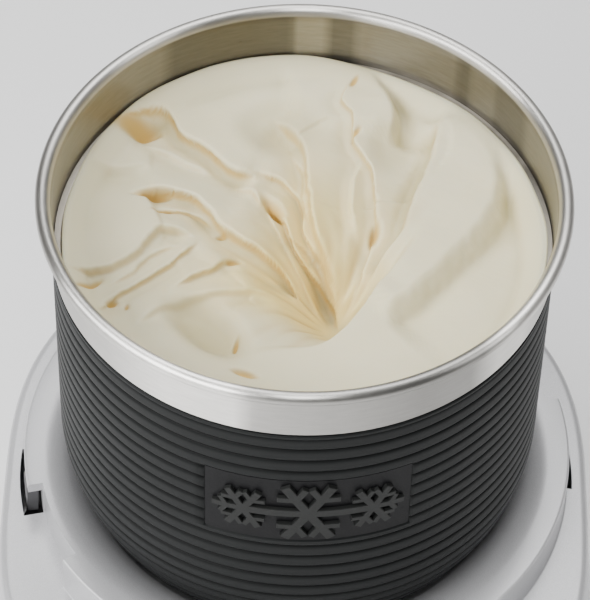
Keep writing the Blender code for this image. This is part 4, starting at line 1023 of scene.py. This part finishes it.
def fold_field(plan, points):
    """Signed distance to a fold line (left is positive), the left normal, and the fade towards its ends."""
    line = smooth_path(points)
    best = np.full(len(plan), 1e9)
    where = np.zeros(len(plan), int)
    for k, point in enumerate(line):
        d = np.hypot(*(plan - point).T)
        closer = d < best
        best[closer] = d[closer]
        where[closer] = k
    tangent = np.gradient(line, axis=0)
    tangent /= np.linalg.norm(tangent, axis=1)[:, None]
    left = np.stack([-tangent[:, 1], tangent[:, 0]], 1)
    offset = plan - line[where]
    side = np.einsum("ij,ij->i", offset, left[where])
    run = np.concatenate([[0], np.cumsum(np.hypot(*np.diff(line, axis=0).T))])
    ends = min(9.0, run[-1] * 0.3)
    fade = smoothstep(run[where], 0, ends) * smoothstep(run[-1] - run[where], 0, ends)
    lateral = np.abs(np.einsum("ij,ij->i", offset, tangent[where]))
    fade = fade * np.exp(-((lateral / 4.0) ** 2))
    return np.where(np.abs(side) < best * 0.2, best * np.sign(side + 1e-9), side), left[where], fade


def ripple(x, y, seed, waves=9, low=0.05, high=0.22):
    """A smooth random sheet made of a few sine waves."""
    rng = np.random.default_rng(seed)
    total = np.zeros_like(x)
    for _ in range(waves):
        turn = rng.uniform(0, 2 * math.pi)
        rate = rng.uniform(low, high)
        total += np.sin((x * math.cos(turn) + y * math.sin(turn)) * rate + rng.uniform(0, 6.3)) / waves
    return total


def dip(x, y, centre, long, wide, turn):
    """Squared distance from the centre of a turned ellipse, 1 on its outline."""
    c, s = math.cos(math.radians(turn)), math.sin(math.radians(turn))
    dx, dy = x - centre[0], y - centre[1]
    along = (dx * c + dy * s) / long
    across = (-dx * s + dy * c) / wide
    return along**2 + across**2


def cream_surface(plan):
    """At plan points in millimetres: height over the rim, sideways shift, warm tint with painted shade,
    golden painted shade and the dishes' painted shade.
    """
    x, y = plan.T
    away = plan - VORTEX
    far = np.hypot(away[:, 0], away[:, 1] * 1.05)
    height = PLAIN - 23.0 * np.exp(-((far / 19.0) ** 2)) - 6.0 * np.exp(-((far / 46.0) ** 2))
    height += 1.2 * smoothstep(y, 10, 88) - 2.2 * smoothstep(x, 45, 86) * smoothstep(y, -60, 30)
    height += 2.2 * ripple(x, y, 3) + 0.9 * ripple(x, y, 8, 12, 0.16, 0.4)
    # the smooth bank in front and to the right, whose edge stands over the hollow
    bank, _, bank_fade = fold_field(plan, BANK)
    over = smoothstep(-bank, -0.7, 2.4) * bank_fade
    # the pool that the bank's edge stands over
    height -= 3.0 * smoothstep(bank, -0.4, 2.0) * np.exp(-((bank / 16.0) ** 2)) * np.exp(-((far / 36.0) ** 4))
    shade = np.zeros_like(x)
    for dish in DISHES:
        hollow = np.exp(-dip(x, y, *dish[:-1]) ** 1.8)
        height -= dish[-1] * hollow
        # painted shade: each dish adds to the grey-green painted shade
        shade = np.maximum(shade, hollow * dish[-1] / 9)
    height += over * (BANK_TOP - height) * np.exp(-((far / 42.0) ** 4))
    angle = np.arctan2(away[:, 1], away[:, 0])
    twist = 1.6 * ripple(x, y, 31, 8, 0.04, 0.16) + 0.7 * np.log(far + 4)
    streak = 0.6 * np.sin(angle * 15 + twist * 2) + 0.4 * np.sin(angle * 29 - twist * 3 + 1)
    reach = np.exp(-((far / 30.0) ** 2)) * smoothstep(far, 3, 11) * (1 - over)
    height += 1.1 * streak * reach
    shift = np.zeros_like(plan)
    # painted shade: golden in the troughs of the swirl near the vortex
    golden_painted_shade = np.clip(-streak, 0, 1) * reach * 0.55
    for points, high, low, wide_high, wide_low, soft, overhang, golden_shade_strength in FOLDS:
        side, left, fade = fold_field(plan, points)
        seed = len(points) + int(abs(points[0][0]))
        wobble = side + 0.6 * ripple(x, y, seed, 8, 0.25, 0.8) + 0.3 * ripple(x, y, seed + 100, 8, 0.9, 1.8)
        upper = high * np.exp(-np.maximum(wobble, 0) / wide_high)
        lower = -low * np.exp(-np.maximum(-wobble, 0) / wide_low)
        blend = 0.6 * smoothstep(wobble, -soft, soft) + 0.4 * smoothstep(wobble, -4.5, soft)
        height += RELIEF * fade * (lower + (upper - lower) * blend)
        pull = overhang * fade * np.exp(-((np.maximum(wobble, 0) / 3.0) ** 2))
        shift -= left * (pull * smoothstep(wobble, -soft * 0.5, soft))[:, None]
        # painted shade: a golden line along the fold's low side
        line = smoothstep(wobble, -1.5, -0.2) * smoothstep(-wobble, -0.5, 0.2)
        golden_painted_shade = np.maximum(golden_painted_shade, golden_shade_strength * fade * line)
    # each pit is also filled with the golden painted shade
    for pit in PITS:
        hole = np.exp(-dip(x, y, *pit[:-1]) ** 2)
        height -= pit[-1] * hole
        golden_painted_shade = np.maximum(golden_painted_shade, hole)
    # warm tint: painted shade in the throat and deep at the vortex, and a yellow tint round the pool; almost
    # none on the bank
    throat = np.exp(-(((x - 3) / 21) ** 2) - ((y - 12) / 27) ** 2)
    pool = np.exp(-(((x + 7) / 26) ** 2) - ((y + 14) / 16) ** 2)
    warm_tint_and_painted_shade = (0.75 * throat + 0.9 * pool + 0.2 * np.exp(-((far / 20.0) ** 2))) * (1 - 0.95 * over)
    warm_tint_and_painted_shade = np.clip(warm_tint_and_painted_shade + 0.1 * ripple(x, y, 21, 10, 0.08, 0.3), 0, 1)
    return height, shift, warm_tint_and_painted_shade, golden_painted_shade, shade


def back_mass(angle):
    """1 at the back left, where the contents stand highest, falling to 0 round the rest of the edge."""
    off = np.abs(np.angle(np.exp(1j * (angle - math.radians(112)))))
    return np.exp(-((off / 0.62) ** 4))


def spread_over_ledge(angle):
    """Share of the ledge's width that the contents cover, unevenly."""
    uneven = 0.10 * np.sin(angle * 3 + 1) + 0.08 * np.sin(angle * 7 + 2) + 0.04 * np.sin(angle * 17)
    return np.clip(0.40 + uneven + 0.5 * back_mass(angle), 0, 0.97)


def blurred(height, count, passes):
    """The grid's heights after some passes of averaging with the four neighbours."""
    smooth = height.reshape(count, count)
    for _ in range(passes):
        padded = np.pad(smooth, 1, mode="edge")
        near = (padded[:-2, 1:-1] + padded[2:, 1:-1] + padded[1:-1, :-2] + padded[1:-1, 2:]) / 4
        smooth = (smooth + near) / 2
    return smooth.ravel()


def hollowness(height, count):
    """How far each point of the grid lies below the smoothed surface round it, from 0 to 1; the contents'
    grey-green painted shade follows it.
    """
    below = blurred(height, count, 180) - height
    return np.clip((below - 0.25) / 3.2, 0, 1)


def square_to_disc(count):
    """Plan points on a unit disc from a square grid: the longer coordinate becomes the radius."""
    across = np.linspace(-1, 1, count)
    a, b = (grid.ravel() for grid in np.meshgrid(across, across))
    first = np.abs(a) > np.abs(b)
    radius = np.where(first, a, b)
    ratio = np.where(first, b / np.where(a == 0, 1, a), a / np.where(b == 0, 1, b))
    turn = np.where(first, ratio * math.pi / 4, math.pi / 2 - ratio * math.pi / 4)
    return np.stack([radius * np.cos(turn), radius * np.sin(turn)], 1)


def make_cream(material):
    """The churned contents: a fine sheet over a disc, which follows the cup's side below."""
    count = GRID
    cup_mouth = (BOWL_RADIUS - SLEEVE - 2 * SHEET - 3 * GAP) / MM
    wall = (BOWL_RADIUS - SHEET - GAP) / MM
    flange = (LEDGE + 2 * GAP + SHEET - RIM) / MM
    disc = square_to_disc(count)
    share = np.hypot(*disc.T)
    angle = np.arctan2(disc[:, 1], disc[:, 0])
    cover = spread_over_ledge(angle)
    plan = disc * (cup_mouth - 0.3)
    height, shift, warm_tint_and_painted_shade, golden_painted_shade, shade = cream_surface(plan)
    height = blurred(height, count, 2)
    height = HIGHEST - np.log1p(np.exp((HIGHEST - height) / 1.5)) * 1.5
    hold = smoothstep(1 - share, 0, 0.12)
    spread = plan + shift * hold[:, None]
    # the edge climbs onto the ledge, highest at the back left
    edge_height = flange + 0.9 + 2.4 * back_mass(angle)
    brim = smoothstep(share, 0.9, 1)
    height = height * (1 - brim) + edge_height * brim
    out = np.hypot(*spread.T)
    outward = (wall - cup_mouth) * cover * smoothstep(share, 0.93, 1)
    limit = np.where(height < flange, cup_mouth - 0.4 - np.clip((flange - 3 - height) / 9, 0, 1) * 4, wall)
    target = np.minimum(out + outward, limit)
    spread *= (target / np.maximum(out, 1e-6))[:, None]
    height -= 0.5 * smoothstep(share, 0.975, 1)
    # painted shade: grey-green where the surface lies below its surroundings and in the dishes, fading out at
    # the edge
    hollow = np.maximum(hollowness(height, count), shade) * smoothstep(1 - share, 0.02, 0.1)

    bm = bmesh.new()
    golden_painted_shade_layer = bm.verts.layers.float.new("golden_painted_shade")
    warm_tint_and_painted_shade_layer = bm.verts.layers.float.new("warm_tint_and_painted_shade")
    grey_green_painted_shade_layer = bm.verts.layers.float.new("hollow")
    sheet = []
    for (x, y), z, g, w, h in zip(spread * MM, RIM + height * MM, golden_painted_shade, warm_tint_and_painted_shade, hollow):
        vert = bm.verts.new((x, y, z))
        vert[golden_painted_shade_layer] = g
        vert[warm_tint_and_painted_shade_layer] = w
        vert[grey_green_painted_shade_layer] = h
        sheet.append(vert)
    for row in range(count - 1):
        for column in range(count - 1):
            k = row * count + column
            bm.faces.new((sheet[k], sheet[k + 1], sheet[k + 1 + count], sheet[k + count]))
    boundary = [sheet[k] for k in range(count)]
    boundary += [sheet[(k + 1) * count - 1] for k in range(1, count)]
    boundary += [sheet[count * count - 1 - k] for k in range(1, count)]
    boundary += [sheet[(count - 1 - k) * count] for k in range(1, count - 1)]
    side = cup_mouth * MM
    corner = (side - 32 * MM, CREAM_LOW[2] + CUP_CORNER)
    over_ledge = RIM + flange * MM
    levels = [(wall * MM, over_ledge), (side - 0.3 * MM, over_ledge), (side - 0.45 * MM, over_ledge - 3 * MM)]
    levels += [(side - 4.1 * MM, CUP_SHOULDER), *arc(corner, CUP_CORNER, 0, -90, 6)]
    rings = [boundary]
    for radius, level in levels:
        ring = []
        for vert in rings[-1]:
            reach = math.hypot(vert.co.x, vert.co.y)
            scale = min(radius, reach) / reach
            lower_z = min(level, vert.co.z - 0.02 * MM)
            ring.append(bm.verts.new((vert.co.x * scale, vert.co.y * scale, lower_z)))
        rings.append(ring)
    total = len(boundary)
    for upper, lower in zip(rings, rings[1:]):
        for i in range(total):
            j = (i + 1) % total
            bm.faces.new((upper[i], lower[i], lower[j], upper[j]))
    bm.faces.new(rings[-1])
    bmesh.ops.recalc_face_normals(bm, faces=bm.faces)
    cream_piece = finish_mesh("ice_cream_churned", bm, material, 180)
    keep(cream_piece, "contents", "ice_cream", "ice_cream")


# ---------------------------------------------------------------- switch, gland, feet and drive

def make_switch(black):
    face = on_wall(-1, SWITCH_HEIGHT, -side_slope())
    half_x, half_z = SWITCH_HALF
    frame_bm = slab(half_x + 4 * MM, half_z + 4 * MM, -1.9 * MM, -0.3 * MM, 2.5 * MM)
    bezel = finish_mesh("switch_bezel_fine", frame_bm, black)
    inner = slab(half_x + 1.2 * MM, half_z + 1.2 * MM, -0.8 * MM, 7 * MM)
    combine(bezel, [inner], "UNION", black)
    combine(bezel, [slab(half_x, half_z, -5 * MM, 9 * MM, 0.8 * MM)], "DIFFERENCE")
    bezel.data.transform(face)
    soften(bezel, 0.35 * MM)
    keep(bezel, "base", "black_plastic", "switch_bezel")

    radius = 6.4 * MM
    front = -radius - 1.2 * MM
    upper = arc((0, 0), radius, 140, 60, 10)
    hollow = []
    for t in np.linspace(-1.57, 1.57, 15):
        hollow.append((front + 0.6 * MM + 0.8 * MM * math.cos(t) ** 2, radius * 0.62 * math.sin(t)))
    outline = hollow + upper + [(d, -h) for d, h in reversed(upper)]
    low = -half_x + 0.5 * MM
    bm = extruded([(low, d, h) for d, h in outline], (-2 * low, 0, 0))
    rocker = finish_mesh("power_rocker_fine", bm, black, 30)
    tilt = Matrix.Translation((0, 4.5 * MM, 0)) @ Matrix.Rotation(math.radians(8), 4, "X")
    rocker.data.transform(face @ tilt)
    soften(rocker, 0.25 * MM)
    keep(rocker, "rocker", "black_plastic", "power_rocker")


def soften(obj, width):
    """Rounds an object's sharp edges a little."""
    bevel = obj.modifiers.new("soft_edges", "BEVEL")
    bevel.width = width
    bevel.segments = 2
    bevel.limit_method = "ANGLE"
    bevel.angle_limit = math.radians(50)
    bake(obj)
    obj.data.shade_smooth()
    obj.data.set_sharp_from_angle(angle=math.radians(40))


def make_gland(black):
    outer = 7 * MM
    flange = outer + 2 * MM
    cord = 3.6 * MM
    profile = [(outer, -6 * MM), (outer, GAP), (flange - 0.3 * MM, GAP), (flange, GAP + 0.3 * MM)]
    profile += arc((flange - 0.9 * MM, 0.9 * MM), 0.9 * MM, 0, 90, 5)
    profile += [(cord + 1 * MM, 1.8 * MM), (cord + 0.3 * MM, 1.5 * MM), (cord, 0.8 * MM), (cord, -6 * MM)]
    bm = turned(profile, 64)
    bm.transform(on_wall(1, GLAND_HEIGHT, side_slope() - math.pi / 2))
    keep(finish_mesh("cord_gland_fine", bm, black, 45), "base", "black_plastic", "cord_gland")


def make_feet(rubber):
    for k in range(1, 5):
        low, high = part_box(f"foot_{k}")
        centre = ((low[0] + high[0]) / 2, (low[1] + high[1]) / 2)
        radius = 9 * MM
        top = FOOT_HEIGHT - GAP
        profile = [(0, 0.5 * MM), (radius - 3 * MM, 0.5 * MM), (radius - 3.4 * MM, 0), (radius - 1.5 * MM, 0)]
        profile += arc((radius - 1.5 * MM, 1.5 * MM), 1.5 * MM, -80, 0, 5)
        profile += [(radius, top), (3 * MM, top), (3 * MM, high[2]), (0, high[2])]
        foot = finish_mesh(f"foot_{k}_fine", turned(profile, 48, centre), rubber, 50)
        keep(foot, "base", "rubber", f"foot_{k}")


def smooth_copy(node, body, slot, material, width=0.3 * MM):
    """A CAD node's shape again, with merged corners and softened edges."""
    source = frame["nodes"][node]
    bm = bmesh.new()
    bm.from_mesh(source.data)
    bm.transform(source.matrix_world)
    bmesh.ops.remove_doubles(bm, verts=bm.verts, dist=0.01 * MM)
    bmesh.ops.dissolve_limit(bm, angle_limit=math.radians(1), verts=bm.verts, edges=bm.edges)
    copy = finish_mesh(f"{node}_fine", bm, material)
    soften(copy, width)
    keep(copy, body, slot, node)


def make_turntable(grey):
    """Plate and hub with four drive lugs."""
    top = SEAT - GAP
    low = top - 4 * MM
    bore = 5.3 * MM
    rim = 30 * MM
    hub_top = top + 6.5 * MM
    lug_at = 14.45 * MM
    profile = [(rim, low + 0.8 * MM), (rim, top - 0.6 * MM), (29.4 * MM, top), (14.6 * MM, top)]
    profile += [(12.4 * MM, top + 6 * MM), (11.9 * MM, hub_top), (bore, hub_top)]
    profile += [(bore, low), (29.2 * MM, low)]
    plate = finish_mesh("turntable_fine", turned(profile, 96), grey)
    lugs = []
    upright = Matrix.Translation((lug_at, 0, top - 0.9 * MM)) @ Matrix.Rotation(math.radians(90), 4, "X")
    for k in range(4):
        lug = slab(5.5 * MM, 2.95 * MM, 0, 6.8 * MM, 0.6 * MM, 3)
        lug.transform(Matrix.Rotation(math.radians(90 * k), 4, "Z") @ upright)
        lugs.append(lug)
    combine(plate, lugs, "UNION", grey)
    soften(plate, 0.25 * MM)
    keep(plate, "turntable", "grey_plastic", "turntable")


def paint_frame(paints):
    """Gives each CAD node the paint of its slot in the record; the replaced ones don't show."""
    slots = {part["node"]: part["material_slot"] for part in frame["record"]["subparts"]}
    for node, obj in frame["nodes"].items():
        paint = paints.get(slots.get(node, ""))
        if paint:
            obj.data.materials.clear()
            obj.data.materials.append(paint)


def main():
    add_camera()
    add_studio()
    steel = brushed_steel()
    silver = satin_silver()
    rubber_grip = grip_rubber()
    black = moulded("black_moulding", (0.022, 0.022, 0.023), 0.42)
    grey = moulded("grey_moulding", (0.12, 0.12, 0.125), 0.5)
    white = moulded("white_moulding", (0.78, 0.77, 0.73), 0.42)
    rubber = moulded("foot_rubber", (0.018, 0.018, 0.018), 0.75, 500)
    plated = machined("plated_steel", (0.52, 0.52, 0.53), 0.3)
    make_shell(steel)
    make_cup(brushed_steel("ledge_steel", filmed=True))
    make_sleeve(rubber_grip)
    make_badge()
    make_housing(silver)
    make_cream(cream())
    make_switch(black)
    make_gland(black)
    make_feet(rubber)
    make_turntable(grey)
    smooth_copy("drive_socket", "bowl", "black_plastic", black)
    smooth_copy("interlock_plunger", "plunger", "grey_plastic", grey, 0.5 * MM)
    paint_frame({
        "satin_silver": silver,
        "brushed_steel": plated,
        "black_plastic": black,
        "grey_plastic": grey,
        "white_plastic": white,
        "rubber": rubber,
        "steel": plated,
        "bronze": machined("sintered_bronze", (0.50, 0.31, 0.13), 0.4),
        "copper": machined("winding_copper", (0.62, 0.26, 0.11), 0.35, 900),
        "lamination": machined("lamination_steel", (0.26, 0.26, 0.28), 0.45),
        "coolant": moulded("frozen_gel", (0.22, 0.40, 0.68), 0.35, 200),
    })


main()
